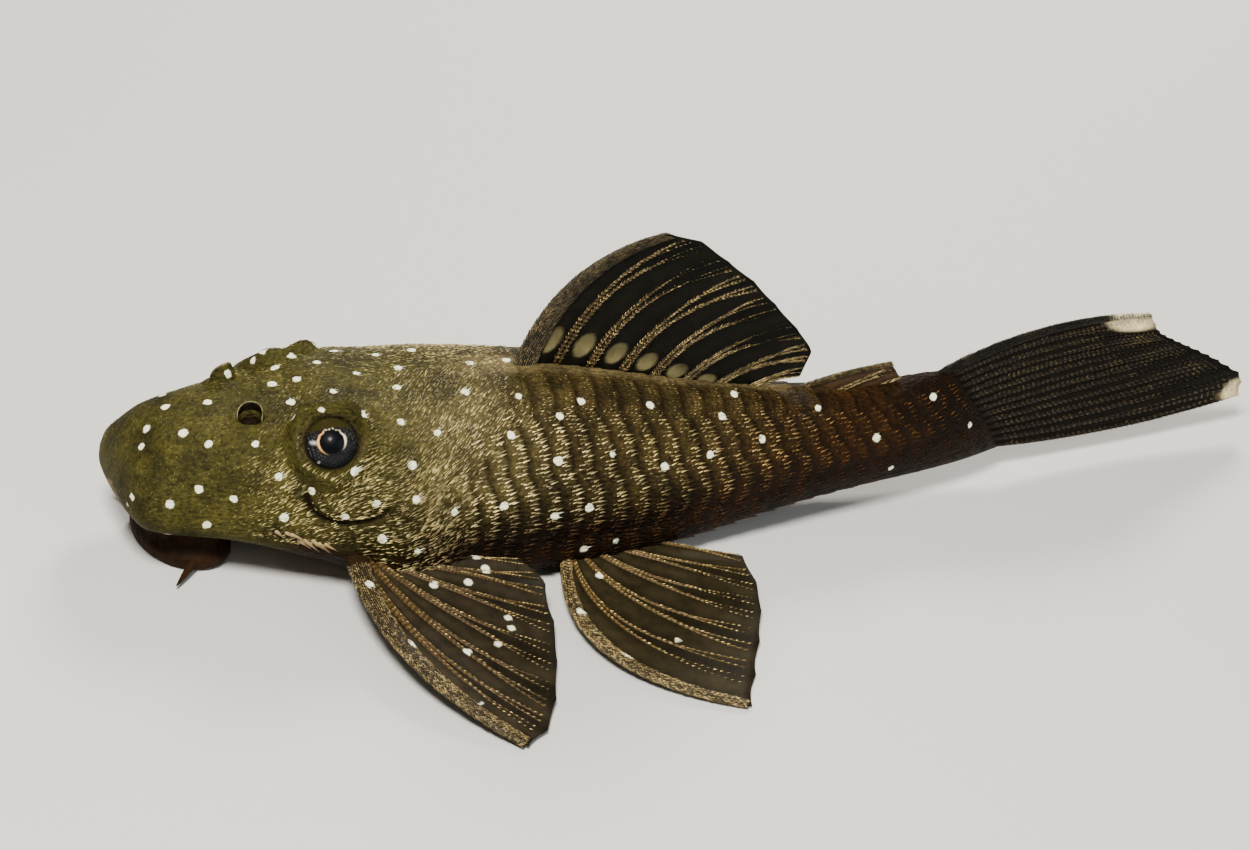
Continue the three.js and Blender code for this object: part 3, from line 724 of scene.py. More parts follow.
def studded(name, x, girth, lengths, widths, lean, upward, shine=1.0):
    """Odontodes on the skin wherever it is clear, combed rearward and a little upward."""
    keep = clear_of_parts(x, girth)
    x, girth, lengths, widths = x[keep], girth[keep], lengths[keep], widths[keep]
    _, rear, up, out = body_axes(x, girth)
    flip = np.where(girth > 0.5, -1.0, 1.0)
    ahead = unit(rear + up * (flip * upward + draw.normal(0, 0.16, len(x)))[:, None])
    roots = on_skin(x, girth)
    bake = 0.02 + 0.96 * np.stack([x / BAKE_LENGTH, girth], -1)
    stores = dentine_stores(shine * odontode_tint(x, girth), spot_share(roots, *body_spots))
    spines(name, roots, ahead, out, lengths, widths, lean, bake, odontode_material, stores)


# Each comb's place along its plate, in the crowded top row and in the others, and its size
COMBS = ((0.12, 0.0, 0.5), (0.34, 0.40, 0.6), (0.56, 0.58, 0.85), (0.78, 0.76, 1.0))
LINES_DOWN = 400
keel_gap = profile([(0, 0.21), (0.07, 0.23), (0.12, 0.31), (0.25, 0.33), (0.42, 0.36)])


def plate_combs():
    """Odontodes in combs on each plate of one side, along parallel keels to its rear edge."""
    girths = np.linspace(0.004, 0.415, LINES_DOWN)
    combs = []
    for plate in range(-3, 30):
        x0 = HEAD_END + PLATE_PITCH * (plate + 0.5)
        path = bare_body(np.full(LINES_DOWN, min(x0, 72.8)), girths)
        step = np.linalg.norm(np.diff(path, axis=0), axis=-1) / keel_gap(girths[1:])
        keel = np.concatenate([[0], np.cumsum(step * (1 - 0.18 * smooth(x0, 52, 60)))])
        line = np.interp(np.arange(0.3, keel[-1], 1.0), keel, girths)
        top = 1 - smooth(line, 0.07, 0.12)
        number, across, _, _ = plate_phase(line * 0 + x0, line)
        for in_top, below, size in COMBS:
            there = top > 0.3
            if below:
                there |= (draw.random(len(line)) < 0.5) | (size > 0.6)
            phase = below + (in_top - below) * top
            even = HEAD_END + PLATE_PITCH * (plate + phase - edge_shift(number, across))
            x = even
            for _ in range(4):
                x = even + column_slant(x, 2 * line)
            combs.append((x[there], line[there], size + 0 * x[there]))
    x, girth, grown = (np.concatenate(parts) for parts in zip(*combs))
    x = x + draw.normal(0, 0.05, len(x))
    girth = np.clip(girth + draw.normal(0, 0.0007, len(x)), 0.001, 0.419)
    top = 1 - smooth(girth, 0.07, 0.12)
    fine = smooth(x, 50, 62)
    length = grown * (0.62 * (1 - top) + 0.27 * top) * draw.uniform(0.75, 1.2, len(x)) * (1 - 0.34 * fine)
    width = (0.060 + 0.034 * grown) * (1 - 0.22 * top) * (1 - 0.2 * fine)
    keep = (x < 72.6) & (draw.random(len(x)) > 0.05) & (draw.random(len(x)) < plated_share(x, girth))
    return x[keep], girth[keep], length[keep], width[keep]


for name, mirror in (("odontodes_left", False), ("odontodes_right", True)):
    x, girth, length, width = plate_combs()
    studded(name, x, 1 - girth if mirror else girth, length, width, 0.22, 0.25)

GOLDEN_RATIO = 0.6180339887


def head_odontodes(count, x_high, girth_high):
    """Odontodes on the head, even but unordered, in clumps, and coarser on the cheeks and nape."""
    i = np.arange(count)
    x_low = SNOUT_TIP + 0.5
    x = x_low + (x_high - x_low) * (i + 0.5) / count
    girth = ((i * GOLDEN_RATIO) % 1.0 * 2 - 1) * girth_high % 1.0
    x = np.clip(x + draw.normal(0, 0.10, count), SNOUT_TIP + 0.4, x_high)
    side = one_side(girth)
    waves = ((1.9, 70), (3.1, -95), (4.3, 160))
    clumps = sum(np.cos(k * x + 3 * k * np.cos(m * side) + m * side) for k, m in waves)
    grown = draw.random(count) > plated_share(x, side)
    grown &= draw.random(count) < 0.55 + 0.18 * clumps + 0.2 * smooth(x, 20, 26)
    x, girth, side = x[grown], girth[grown], side[grown]
    coarse = np.maximum(smooth(side, 0.10, 0.15) * smooth(x, 9, 14), 0.6 * smooth(x, 19, 25))
    small = 0.50 + 0.25 * smooth(x, 6, 16) + 0.45 * coarse
    length = 0.40 * small * draw.uniform(0.6, 1.4, len(x))
    return x, girth, length, 0.046 * small ** 0.5 * draw.uniform(0.7, 1.3, len(x))


studded("odontodes_head", *head_odontodes(30000, 33.0, 0.27), 0.22, 0.75)

# Gill covers and cheek spines: the cover's rim carries larger golden odontodes, and a tuft of
# hooked spines fans from the cheek's lower edge, each rooted in a movable bone in the real fish.

GIRTH_PER_MM = 0.0182
RIM_STEPS = 27


def rim_places():
    """Two rings of places round the lower rim of the left gill cover."""
    turn = np.repeat(np.linspace(math.radians(190), math.radians(350), RIM_STEPS), 2)
    ring = np.tile([0.84, 1.0], RIM_STEPS)
    along, above = GILL_LONG * ring * np.cos(turn), GILL_TALL * ring * np.sin(turn)
    return GILL[0] + along, GILL[1] - (above + GILL_TILT * along) * GIRTH_PER_MM


def both_sides(x, girth):
    return np.concatenate([x, x]), np.concatenate([girth, 1 - girth])


x, girth = both_sides(*rim_places())
x = x + draw.normal(0, 0.05, len(x))
girth = girth + draw.normal(0, 0.0008, len(x))
length = 0.46 * draw.uniform(0.5, 1.4, len(x))
studded("gill_rim_odontodes", x, girth, length, np.full(len(x), 0.085), 0.35, 0.5, 1.2)

spine_material, tree, shader = surface("golden_dentine", 0.38, 0.4)
warm = ranged(tree, noise(tree, 1800), 0.3, 0.7, 0, 1)
painted(tree, shader, blended(tree, warm, (0.16, 0.085, 0.026, 1), (0.46, 0.34, 0.17, 1)))


def cheek_spines(count):
    """A tuft along each cheek's lower edge, its longest spines past the middle."""
    share = np.linspace(0, 1, count)
    x = 12.6 + 3.2 * share + draw.normal(0, 0.08, count)
    girth = 0.247 + 0.008 * share + draw.normal(0, 0.0016, count)
    length = np.tile(1.5 - 0.75 * np.abs(share - 0.62) + draw.uniform(-0.2, 0.2, count), 2)
    x, girth = both_sides(x, girth)
    _, rear, up, out = body_axes(x, girth)
    ahead = unit(rear - up * draw.uniform(-0.15, 0.5, len(x))[:, None])
    bake = np.stack([x / BAKE_LENGTH, girth], -1)
    spines(
        "cheek_spines", on_skin(x, girth), ahead, out, length, np.full(len(x), 0.18), 0.35, bake,
        spine_material, {},
    )


cheek_spines(8)

# Eyes: dark, set high and deep in raised bony rims. The iris is slate dark with silvery streaks,
# a gold ring edges the pupil, short teeth of iris notch it from above, and skin laps its top.

EYE_RADIUS = 2.08
EYE_DEPTH = 1.72
EYE_SWEEP = 0.62 * np.pi
CORNEA = 0.10
PUPIL_RADIUS = 0.88

eye_material, tree, shader = surface("wet_eye", 0.4, 0.06, 0.06, 0.03)
painted(tree, shader, stored(tree, "tint", "Color"))
tree.links.new(stored(tree, "gleam"), shader.inputs["Metallic"])


def ring_offset(turn, wide, first, tall, second):
    """Offsets round an oval that is wide one way and tall the other."""
    return (wide * np.cos(turn))[:, None] * first + (tall * np.sin(turn))[:, None] * second


def eye_look(turn, away):
    """Colour and metal gleam of the ball, this far round and away from its middle."""
    side, above = away * np.cos(turn), away * np.sin(turn)
    draw = np.random.default_rng(3)
    ragged = sum(
        draw.uniform(0.3, 1) * np.cos(k * turn + draw.uniform(0, 6.28)) / k ** 0.5 for k in (3, 5, 8, 13, 21)
    )
    teeth = 0.09 * smooth(above, 0.15, 0.6) * (0.5 + 0.5 * np.cos(11 * turn)) ** 0.7
    inside = away - PUPIL_RADIUS - 0.012 * ragged + teeth
    pupil = 1 - smooth(inside, -0.03, 0.03)

    def toward(degrees, reach):
        """1 in one direction from the pupil, easing to 0 to both sides of it."""
        return hump((turn - math.radians(degrees) + np.pi) % (2 * np.pi) - np.pi, reach)

    notched = 0.55 * toward(90, 1.2) * (0.5 + 0.5 * np.cos(23 * turn))
    bright = np.clip(toward(172, 1.5) + toward(8, 1.1) + notched, 0, 1)
    ring = hump(inside - 0.10, 0.06 + 0.09 * bright) * bright
    glint = np.maximum(
        hump(np.hypot((side + 1.30) / 0.42, (above - 0.12 + 0.3 * (side + 1.3)) / 0.24), 1),
        0.9 * hump(np.hypot((side + 1.10) / 0.15, (above + 1.28) / 0.13), 1),
    )
    streaks = sum(
        np.cos(draw.uniform(14, 40) * (0.8 * side + 0.6 * above) + draw.uniform(0, 6.28))
        * np.cos(draw.uniform(6, 16) * (0.8 * above - 0.6 * side) + draw.uniform(0, 6.28)) for _ in range(14)
    )
    streak = smooth(streaks, 0.8, 3.4) * smooth(away, 1.0, 1.2) * (1 - smooth(away, 1.70, 1.85))
    lit = np.clip(toward(180, 1.3) + toward(15, 1.0) + 0.12 * toward(270, 1.5), 0, 1)
    lid_skin = np.array([0.026, 0.022, 0.0055]) * (1 + 0.15 * np.clip(streaks, -2, 2))[:, None]
    colour = layered(
        (0.007, 0.008, 0.009),
        ((0.085, 0.085, 0.080), streak * (0.15 + 0.85 * lit)),
        (lid_skin, smooth(above + 0.05 * ragged + 0.10 * np.abs(side), 0.86, 1.20)),
        ((0.70, 0.72, 0.66), 0.9 * glint * (0.5 + 0.5 * smooth(streaks, -1.5, 1.0))),
        # Painted shade in the groove round the ball's edge
        ((0.008, 0.006, 0.003), smooth(away, 1.78, 1.95)),
        (mix((0.85, 0.72, 0.48), (0.80, 0.42, 0.13), smooth(-side, 0.2, 0.7)), np.clip(1.2 * ring, 0, 1)),
        ((0.0015, 0.002, 0.003), pupil),
    )
    return colour, 0.2 * streak * (1 - pupil) * (1 - ring) * (above < 0.9)


def eye_piece(name, mirror):
    centre, rear, up, out = eye_frame()

    def place(across, along):
        turn, tip = 2 * np.pi * across, EYE_SWEEP * along
        flat = EYE_RADIUS * np.sin(tip)
        lens = CORNEA * np.exp(-((flat / 0.9) ** 2))
        forward = EYE_DEPTH * np.cos(tip) + lens - CORNEA
        point = centre + ring_offset(turn, flat, rear, flat, up) + forward[:, None] * out
        return across_head(point - RIGHT_EYE_DRAWN_IN * out, centre + EYE_SINK * out) if mirror else point

    mesh = laid(name.replace("eye", "eyeball"), 180, 120, place, 0.001)
    tip = EYE_SWEEP * read(mesh, "along")
    # The hidden back of the ball counts as far from its middle
    away = EYE_RADIUS * np.sin(tip) + 5 * (tip > np.pi / 2)
    colour, gleam = eye_look(2 * np.pi * read(mesh, "across"), away)
    put(mesh, "tint", colour, "FLOAT_COLOR")
    put(mesh, "gleam", gleam)
    piece = shown(mesh, eye_material)
    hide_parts(name)


eye_piece("eye_left", False)
eye_piece("eye_right", True)

# Nostril flaps: a thin hood of skin stands up along the inner side of each nostril, with painted
# shade on its inner face and a painted highlight along its top edge. The right one is the taller
# and carries a white spot.


def nostril_flap(name, mirror):
    height_above = 1.45 if mirror else 0.95
    girth = RIGHT_NOSTRIL_GIRTH if mirror else NOSTRIL[1]
    here, rear, up, out = body_axes(np.array(NOSTRIL[0]), np.array(girth))

    def place(across, along):
        turn = np.pi * (0.42 + 0.62 * (2 * across - 1))
        wall = 2 * np.pi * along
        tall = height_above * np.sin(np.pi * np.clip(across, 0, 1)) ** 0.5 + 0.05
        height = np.where(np.cos(wall) > 0, np.cos(wall), 0.5 * np.cos(wall)) * tall
        ring = 0.92 + 0.08 * np.sin(wall) - 0.10 * height
        point = here + ring_offset(turn, ring * 1.05, rear, ring * 0.95, up) + (height - 0.1)[:, None] * out
        return across_head(point, here) if mirror else point

    mesh = laid(name, 36, 24, place)
    wall = 2 * np.pi * read(mesh, "along")
    colour = layered(
        OLIVE_HEAD * 0.8,
        # Painted shade on the flap's inner face
        ((0.010, 0.007, 0.003), smooth(-np.sin(wall), 0.1, 0.5)),
        # Painted highlight along the flap's top edge
        ((0.42, 0.37, 0.20), 0.6 * smooth(np.cos(wall), 0.93, 1.0)),
    )
    off_spot = np.hypot((read(mesh, "across") - 0.5) * 3.6, (np.cos(wall) - 0.45) * 1.45) / 0.30
    put(mesh, "tint", colour, "FLOAT_COLOR")
    put(mesh, "spot", np.where((np.sin(wall) > 0) & mirror, off_spot, FAR))
    put(mesh, "hollow_shade", np.zeros(len(mesh.vertices)))
    shown(mesh, skin_material)


nostril_flap("nostril_flap_left", False)
nostril_flap("nostril_flap_right", True)

# Mouth: a sucker under the snout. Two broad soft lips make one disc studded with papillae, with
# a short barbel at each corner, and a roof closes it inside.

MOUTH_X = 8.5

lip_material, tree, shader = surface("soft_brown_lip", 0.7, 0.08)
blotch = ranged(tree, noise(tree, 900, 4.0), 0.3, 0.7, 0, 1)
brown = blended(tree, blotch, (0.0070, 0.0032, 0.0010, 1), (0.026, 0.0115, 0.0036, 1))
painted(tree, shader, brown)
bumped(tree, shader, 0.6, 0.0001, cells(tree, 2600.0, own_place(tree)), inward=True)

lip_outline = profile([
    (0, 2.5), (0.16, 2.85), (0.3, 4.4), (0.46, 6.1), (0.58, 6.85),
    (0.68, 6.95), (0.8, 6.3), (0.9, 5.7), (1, 5.4),
])
lip_height = profile([
    (0, 0.9), (0.12, 0.12), (0.3, 0.0), (0.46, 0.02), (0.58, 0.35),
    (0.68, 0.9), (0.8, 1.6), (0.9, 2.4), (1, 3.2),
])


def on_disc(turn, away, z):
    return curved(MOUTH_X + 0.5 * away * np.cos(turn), 0.66 * away * np.sin(turn), z)


def lip_place(across, along):
    turn = 2 * np.pi * across
    creases = 0.02 * np.sin(38 * turn + 3 * np.sin(5 * turn)) * smooth(along, 0.45, 0.65)
    lobes = 0.14 * np.sin(5 * turn + 1) * smooth(along, 0.5, 0.7)
    z = lip_height(along) + 0.02 * np.sin(60 * turn) * np.sin(50 * along)
    return on_disc(turn, lip_outline(along) + creases + lobes, np.maximum(z, 0.002))


def roof_place(across, along):
    return on_disc(2 * np.pi * across, 2.6 * along, 1.9 - 0.9 * along ** 4)


lips = shown(laid("lips", 220, 60, lip_place), lip_material)
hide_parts("mouth")
shown(laid("mouth_roof", 60, 12, roof_place), lip_material)


def barbel(name, side):
    def place(across, along):
        turn = 2 * np.pi * across
        thick = 0.34 * (1 - along) ** 0.7 + 0.02
        back = 3.3 * along
        path = np.stack([MOUTH_X - 0.5 - 0.66 * back, side * (4.2 + 0.75 * back), 0.78 - 0.35 * along], -1)
        ring = np.stack([-0.75 * np.cos(turn), side * -0.66 * np.cos(turn), np.sin(turn)], -1)
        point = path + ring * thick[:, None]
        return curved(point[:, 0], point[:, 1], point[:, 2])

    shown(laid(name, 12, 20, place), lip_material)


barbel("barbel_left", -1)
barbel("barbel_right", 1)

# Fins: jointed bony rays that fork twice, with smoky skin stretched between them. A stout spine
# leads each fin, and a thick outer ray the tail. The paired fins lie spread on the floor.


def spotted(tree, colour):
    return blended(tree, ranged(tree, stored(tree, "spot"), 0.8, 1.15, 1, 0), colour, WHITE_SPOT)


ray_material, tree, shader = surface("brown_fin_ray", 0.5, 0.15)
jointed = ranged(tree, stored(tree, "joint"), 0.25, 0.6, 0, 1)
tone = blended(tree, jointed, (0.090, 0.060, 0.020, 1), (0.032, 0.019, 0.006, 1))
painted(tree, shader, spotted(tree, blended(tree, 1.0, tone, stored(tree, "tint", "Color"), "MULTIPLY")))
bumped(tree, shader, 0.5, 0.00006, noise(tree, 5200, 2.0))

membrane_material, tree, shader = surface("smoky_fin_skin", 0.6, 0.06)
veins = ranged(tree, noise(tree, 700, 4.0, 0.6), 0.3, 0.7, 0.6, 1.4)
painted(tree, shader, spotted(tree, shaded(tree, stored(tree, "tint", "Color"), veins)))
tree.links.new(stored(tree, "cover"), shader.inputs["Alpha"])

RAY_JOINTS = 40
SPINE_REACH = 0.985
WEB_REACH = 0.995
WEB_THICKNESS = 0.12
FIN_SPOT_RADIUS = 0.34
ROOT_SINK = 1.2
PECTORAL_FOLD = math.radians(22)
PECTORAL_ROOT = np.array([21.0, -9.3, 0])
RIGHT_PECTORAL_ROOT = np.array([20.4, 8.6, 0])


def joined(name, meshes):
    whole = bmesh.new()
    for mesh in meshes:
        whole.from_mesh(mesh)
        bpy.data.meshes.remove(mesh)
    mesh = bpy.data.meshes.new(name)
    whole.to_mesh(mesh)
    whole.free()
    mesh.shade_smooth()
    return mesh


def half_ray(ray, way):
    return lambda v: ray + way * (0.075 + 0.17 * smooth(v, 0.38, 1.0))


def twig(parent, way):
    return lambda v: parent(v) + way * 0.10 * smooth(v, 0.64, 1.0)


class Fin:
    """Rays from roots to tips, bent by bows. A place is u rays across and v of the way out."""

    def __init__(
        self, name, rays, root, tip, bow, spine, thickness, ray_tone, web_tone, cover,
        spots=(), mirror=False, fold=0.0, white=None, ovals=False, spine_glow=0.48,
    ):
        self.name = name
        self.last = rays - 1
        self.root, self.tip, self.bow = root, tip, bow
        self.spine = spine
        self.thickness = thickness
        self.ray_tone, self.web_tone, self.cover = ray_tone, web_tone, cover
        self.mirror, self.fold = mirror, fold
        self.white, self.ovals, self.spine_glow = white, ovals, spine_glow
        self.spots = np.zeros((0, 3))
        if spots:
            self.spots = self.spot_places(*np.array(spots).T)

    def place(self, u, v):
        share = u / self.last
        part = u - np.floor(u)
        v = (v * (1 - 0.008 * part * (1 - part) * 4 * v))[..., None]
        root, tip = self.root(share), self.tip(share)
        bow = root + (tip - root) * 0.45 + self.bow(share)
        return root * (1 - v) ** 2 + bow * 2 * v * (1 - v) + tip * v * v

    def axes(self, u, v):
        across = unit(self.place(u + 0.08, v) - self.place(u - 0.08, v))
        ahead = unit(self.place(u, np.minimum(v + 0.03, 1)) - self.place(u, np.maximum(v - 0.03, 0)))
        return across, ahead, unit(np.cross(across, ahead))

    def on_spine(self, v, turn):
        """The spine's surface: a flattened shaft, broad at its root, over the fin's front edge."""
        across, _, out = self.axes(0 * v, v)
        broad = 0.62 * self.spine * (1 - 0.42 * v)
        middle = self.place(0 * v, v) + across * (0.17 * self.spine)
        return middle + ring_offset(turn, broad, across, 0.46 * broad, out)

    def spot_places(self, u, v):
        """White spots' middles. Those on the spine lie on its upper face."""
        _, _, out = self.axes(np.minimum(u, 0.6), v)
        lift = np.where(u < 0.6, 0.26 * self.spine * (1 - 0.42 * v), 0.0) * np.sign(out[:, 2])
        return self.place(u, v) + out * lift[:, None]

    def spot_share(self, points):
        return spot_share(points, self.spots, np.full(len(self.spots), FIN_SPOT_RADIUS))

    def whitened(self, colour, white, u, v):
        return mix(colour, white, self.white(u, v)) if self.white else colour

    def own_way(self, vectors):
        """Directions as this fin's side of the fish has them."""
        x, y, z = vectors[..., 0], vectors[..., 1], vectors[..., 2]
        if self.mirror:
            y = -y
        c, s = math.cos(self.fold), math.sin(self.fold)
        return np.stack([x * c + y * s, y * c - x * s, z], -1)

    def own_side(self, points, low=0.012):
        """Places as this fin's side has them, no lower than low. Only a pectoral is folded."""
        points = np.concatenate([points[..., :2], np.maximum(points[..., 2:], low)], -1)
        if self.fold:
            return RIGHT_PECTORAL_ROOT + self.own_way(points - PECTORAL_ROOT)
        return self.own_way(points)

    def rods(self):
        """(place across, start, end, thickness at each end) of every half ray and its twigs."""
        rods = []
        for ray in range(1, self.last + 1):
            for way in (-1, 1):
                line = half_ray(ray, way)
                rods.append((line, 0.0, 0.72, 0.19, 0.13))
                rods += [(twig(line, again), 0.66, 0.975, 0.105, 0.045) for again in (-1, 1)]
        return rods

    def rod_mesh(self, line, start, end, thick, thin):
        def place(across, along):
            v = start + (end - start) * along
            u = line(v)
            sideways, _, out = self.axes(u, v)
            turn = 2 * np.pi * across
            joint = 1 + 0.07 * np.cos(2 * np.pi * v * RAY_JOINTS)
            taper = (thick + (thin - thick) * along) * np.where(along > 0.97, 0.4, 1)
            radius = taper * self.thickness * joint
            return self.own_side(self.place(u, v) + ring_offset(turn, 1.1 * radius, sideways, radius, out))

        mesh = laid("rod", 8, 60, place)
        v = start + (end - start) * read(mesh, "along")
        u = line(v)
        colour = np.tile(self.ray_tone, (len(v), 1))
        put(mesh, "joint", 0.5 + 0.5 * np.cos(2 * np.pi * v * RAY_JOINTS + 0.8))
        put(mesh, "tint", self.whitened(colour, (7.0, 9.0, 20.0), u, v), "FLOAT_COLOR")
        put(mesh, "spot", self.spot_share(self.place(u, v)))
        return mesh

    def spine_mesh(self):
        def place(across, along):
            return self.own_side(self.on_spine(SPINE_REACH * along, 2 * np.pi * across))

        mesh = laid("spine", 24, 90, place)
        v, turn = read(mesh, "along"), 2 * np.pi * read(mesh, "across")
        put(mesh, "joint", 0.62 + 0 * v)
        put(mesh, "tint", np.tile(0.5 * np.array(self.ray_tone), (len(v), 1)), "FLOAT_COLOR")
        put(mesh, "spot", self.spot_share(self.on_spine(v, turn)))
        return mesh

    def web_place(self, across, along):
        u, v = self.last * across, WEB_REACH * along
        _, _, out = self.axes(u, v)
        slack = 0.06 * np.sin(np.pi * (u - np.floor(u))) * smooth(v, 0.1, 0.7) * np.sin(2.1 * u + 5 * v)
        return self.own_side(self.place(u, v) + out * slack[:, None], 0.08)

    def make_membrane(self):
        fine = 2 if self.ovals else 1
        mesh = laid(self.name + "_membrane", self.last * 8 * fine, 44 * fine, self.web_place)
        u, v = self.last * read(mesh, "across"), WEB_REACH * read(mesh, "along")
        tone = mix(self.web_tone, 0.5 * np.array(self.web_tone), smooth(np.abs(u - np.round(u)), 0.5, 0.1))
        cover = self.cover + (0.98 - self.cover) * (1 - smooth(v, 0.10, 0.40))
        if self.ovals:
            oval = 1 - smooth(np.hypot((u - np.floor(u) - 0.5) / 0.28, (v - 0.185) / 0.075), 0.78, 1.0)
            tone = mix(tone, (0.130, 0.112, 0.050), oval * (0.5 + 0.5 * smooth(v, 0.26, 0.14)))
            cover = np.maximum(cover, 0.97 * oval)
        if self.white:
            cover = np.maximum(cover, 0.97 * self.white(u, v))
        put(mesh, "tint", self.whitened(tone, (0.72, 0.60, 0.34), u, v), "FLOAT_COLOR")
        put(mesh, "cover", np.clip(cover, 0, 1))
        put(mesh, "spot", self.spot_share(self.place(u, v)))
        piece = shown(mesh, membrane_material)
        thick = piece.modifiers.new("skin", "SOLIDIFY")
        thick.thickness = WEB_THICKNESS * MM
        thick.offset = 0
        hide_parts(self.name)

    def make_odontodes(self):
        """Crowded over the spine, and in four rows along every half ray and twig."""
        draw = np.random.default_rng(21)
        rows = []
        turns = np.linspace(-0.75 * math.pi, 0.75 * math.pi, 2 * int(8 * self.spine) + 1)
        for row, turn in enumerate(turns):
            v = np.arange(0.04, SPINE_REACH, 0.0135) + 0.0068 * (row % 2) + draw.normal(0, 0.0015)
            rows.append((0 * v, v, 0 * v + turn + math.pi, 0 * v))
        for line, start, end, thick, _ in self.rods():
            for turn in (0.5, 1.6, 2.7, 4.7):
                v = np.arange(max(start, 0.09), end, 0.021) + draw.uniform(0, 0.008)
                rows.append((line(v), v, 0 * v + turn, 0 * v + thick))
        u, v, turn, thick = (np.concatenate(parts) for parts in zip(*rows))
        hard = thick == 0
        across, ahead, normal = self.axes(u, v)
        out = across * np.cos(turn)[:, None] + normal * (np.where(hard, 2.0, 1.0) * np.sin(turn))[:, None]
        out = unit(out)
        root = self.place(u, v) + out * (thick * self.thickness)[:, None]
        root = np.where(hard[:, None], self.on_spine(v, turn), root)
        stray = draw.normal(0, 0.12, len(u)) + 0.35 * np.cos(turn) * ~hard
        ahead = unit(ahead + across * stray[:, None])
        bake = 0.02 + 0.96 * np.stack([u / self.last, v], -1)
        glow = draw.uniform(0.2, 1.6, len(u)) ** 1.6 * np.where(hard, self.spine_glow, 1.0)
        colour = glow[:, None] * np.array([0.36, 0.265, 0.105]) * np.mean(self.ray_tone) ** 0.6
        colour = self.whitened(colour, (0.8, 0.7, 0.45), u, v)
        spines(
            self.name + "_odontodes", self.own_side(root), self.own_way(ahead), self.own_way(out),
            np.where(hard, 0.40 - 0.12 * v, 0.26) * draw.uniform(0.7, 1.2, len(u)),
            np.where(hard, 0.078, 0.048), np.where(hard, 0.28, 0.30)[:, None], bake,
            odontode_material, dentine_stores(colour, self.spot_share(root)),
        )

    def make(self):
        rods = [self.rod_mesh(*rod) for rod in self.rods()] + [self.spine_mesh()]
        shown(joined(self.name + "_rays", rods), ray_material)
        self.make_membrane()
        self.make_odontodes()


def triple(x, y, z):
    return np.stack(np.broadcast_arrays(x, y, z), -1).astype(float)


dorsal_tip_x = profile([
    (0, 43.2), (0.14, 45.8), (0.29, 48.4), (0.43, 50.7),
    (0.57, 52.8), (0.71, 55.0), (0.86, 56.6), (1, 56.0),
])
dorsal_tip_z = profile([
    (0, 24.9), (0.14, 24.2), (0.29, 22.3), (0.43, 20.5),
    (0.57, 18.4), (0.71, 16.1), (0.86, 13.8), (1, 11.8),
])


def on_back(x, sink):
    return curved(x, 0 * x, back_height(x) - sink)


Fin(
    "dorsal_fin", 8,
    root=lambda share: on_back(33.0 + 17.8 * share, ROOT_SINK),
    tip=lambda share: curved(dorsal_tip_x(share), 0 * share, dorsal_tip_z(share)),
    bow=lambda share: triple(-2.8 + 1.8 * share, 0, 4.4 - 3.6 * share),
    spine=1.5, thickness=0.72, spine_glow=0.2, ovals=True,
    ray_tone=(0.55, 0.50, 0.36), web_tone=(0.0045, 0.0040, 0.0022), cover=0.96,
).make()

Fin(
    "adipose_fin", 3,
    root=lambda share: on_back(54.8 + 8.4 * share, 0.6),
    tip=lambda share: curved(64.1 + 0.8 * share, 0 * share, 12.0 - 1.3 * share),
    bow=lambda share: triple(-0.3, 0, 0.6 - 0.4 * share),
    spine=0.75, thickness=0.5,
    ray_tone=(0.5, 0.42, 0.4), web_tone=(0.050, 0.028, 0.014), cover=0.94,
).make()

tail_tip_x = profile([
    (0, 89.2), (0.15, 90.4), (0.35, 92.6), (0.55, 95.4), (0.75, 98.6), (0.9, 100.8), (1, 101.0),
])
tail_tip_z = profile([(0, 12.6), (0.15, 10.9), (0.35, 9.6), (0.55, 8.2), (0.75, 6.4), (0.9, 4.7), (1, 3.0)])


def tail_white(u, v):
    """Yellow-white patches at the tips of both lobes."""
    upper = np.hypot((u - 0.6) / 1.3, (v - 0.90) / 0.14)
    lower = np.hypot((u - 12.6) / 1.2, (v - 0.99) / 0.07)
    return 1 - smooth(np.minimum(upper, lower), 0.6, 1.0)


Fin(
    "tail_fin", 14,
    root=lambda share: curved(69.6 + 6.4 * share - ROOT_SINK, 0 * share, 10.2 - 7.6 * share),
    tip=lambda share: curved(tail_tip_x(share), 0 * share, tail_tip_z(share)),
    bow=lambda share: triple(0, 0, 3.0 - 4.4 * share),
    spine=0.8, thickness=0.8, spine_glow=0.2, white=tail_white,
    ray_tone=(0.080, 0.058, 0.032), web_tone=(0.0036, 0.0024, 0.0009), cover=0.97,
).make()


def anal_root(share):
    x = 51.6 + 3.6 * share
    return curved(x, 0 * x, belly_height(x) + ROOT_SINK)


Fin(
    "anal_fin", 5, anal_root,
    tip=lambda share: curved(60.0 + 3.8 * share, 0 * share, 0.5 + 0.5 * share),
    bow=lambda share: triple(-0.6, 0, -0.5),
    spine=0.6, thickness=0.6,
    ray_tone=(1.6, 1.7, 1.8), web_tone=(0.24, 0.22, 0.17), cover=0.85,
).make()

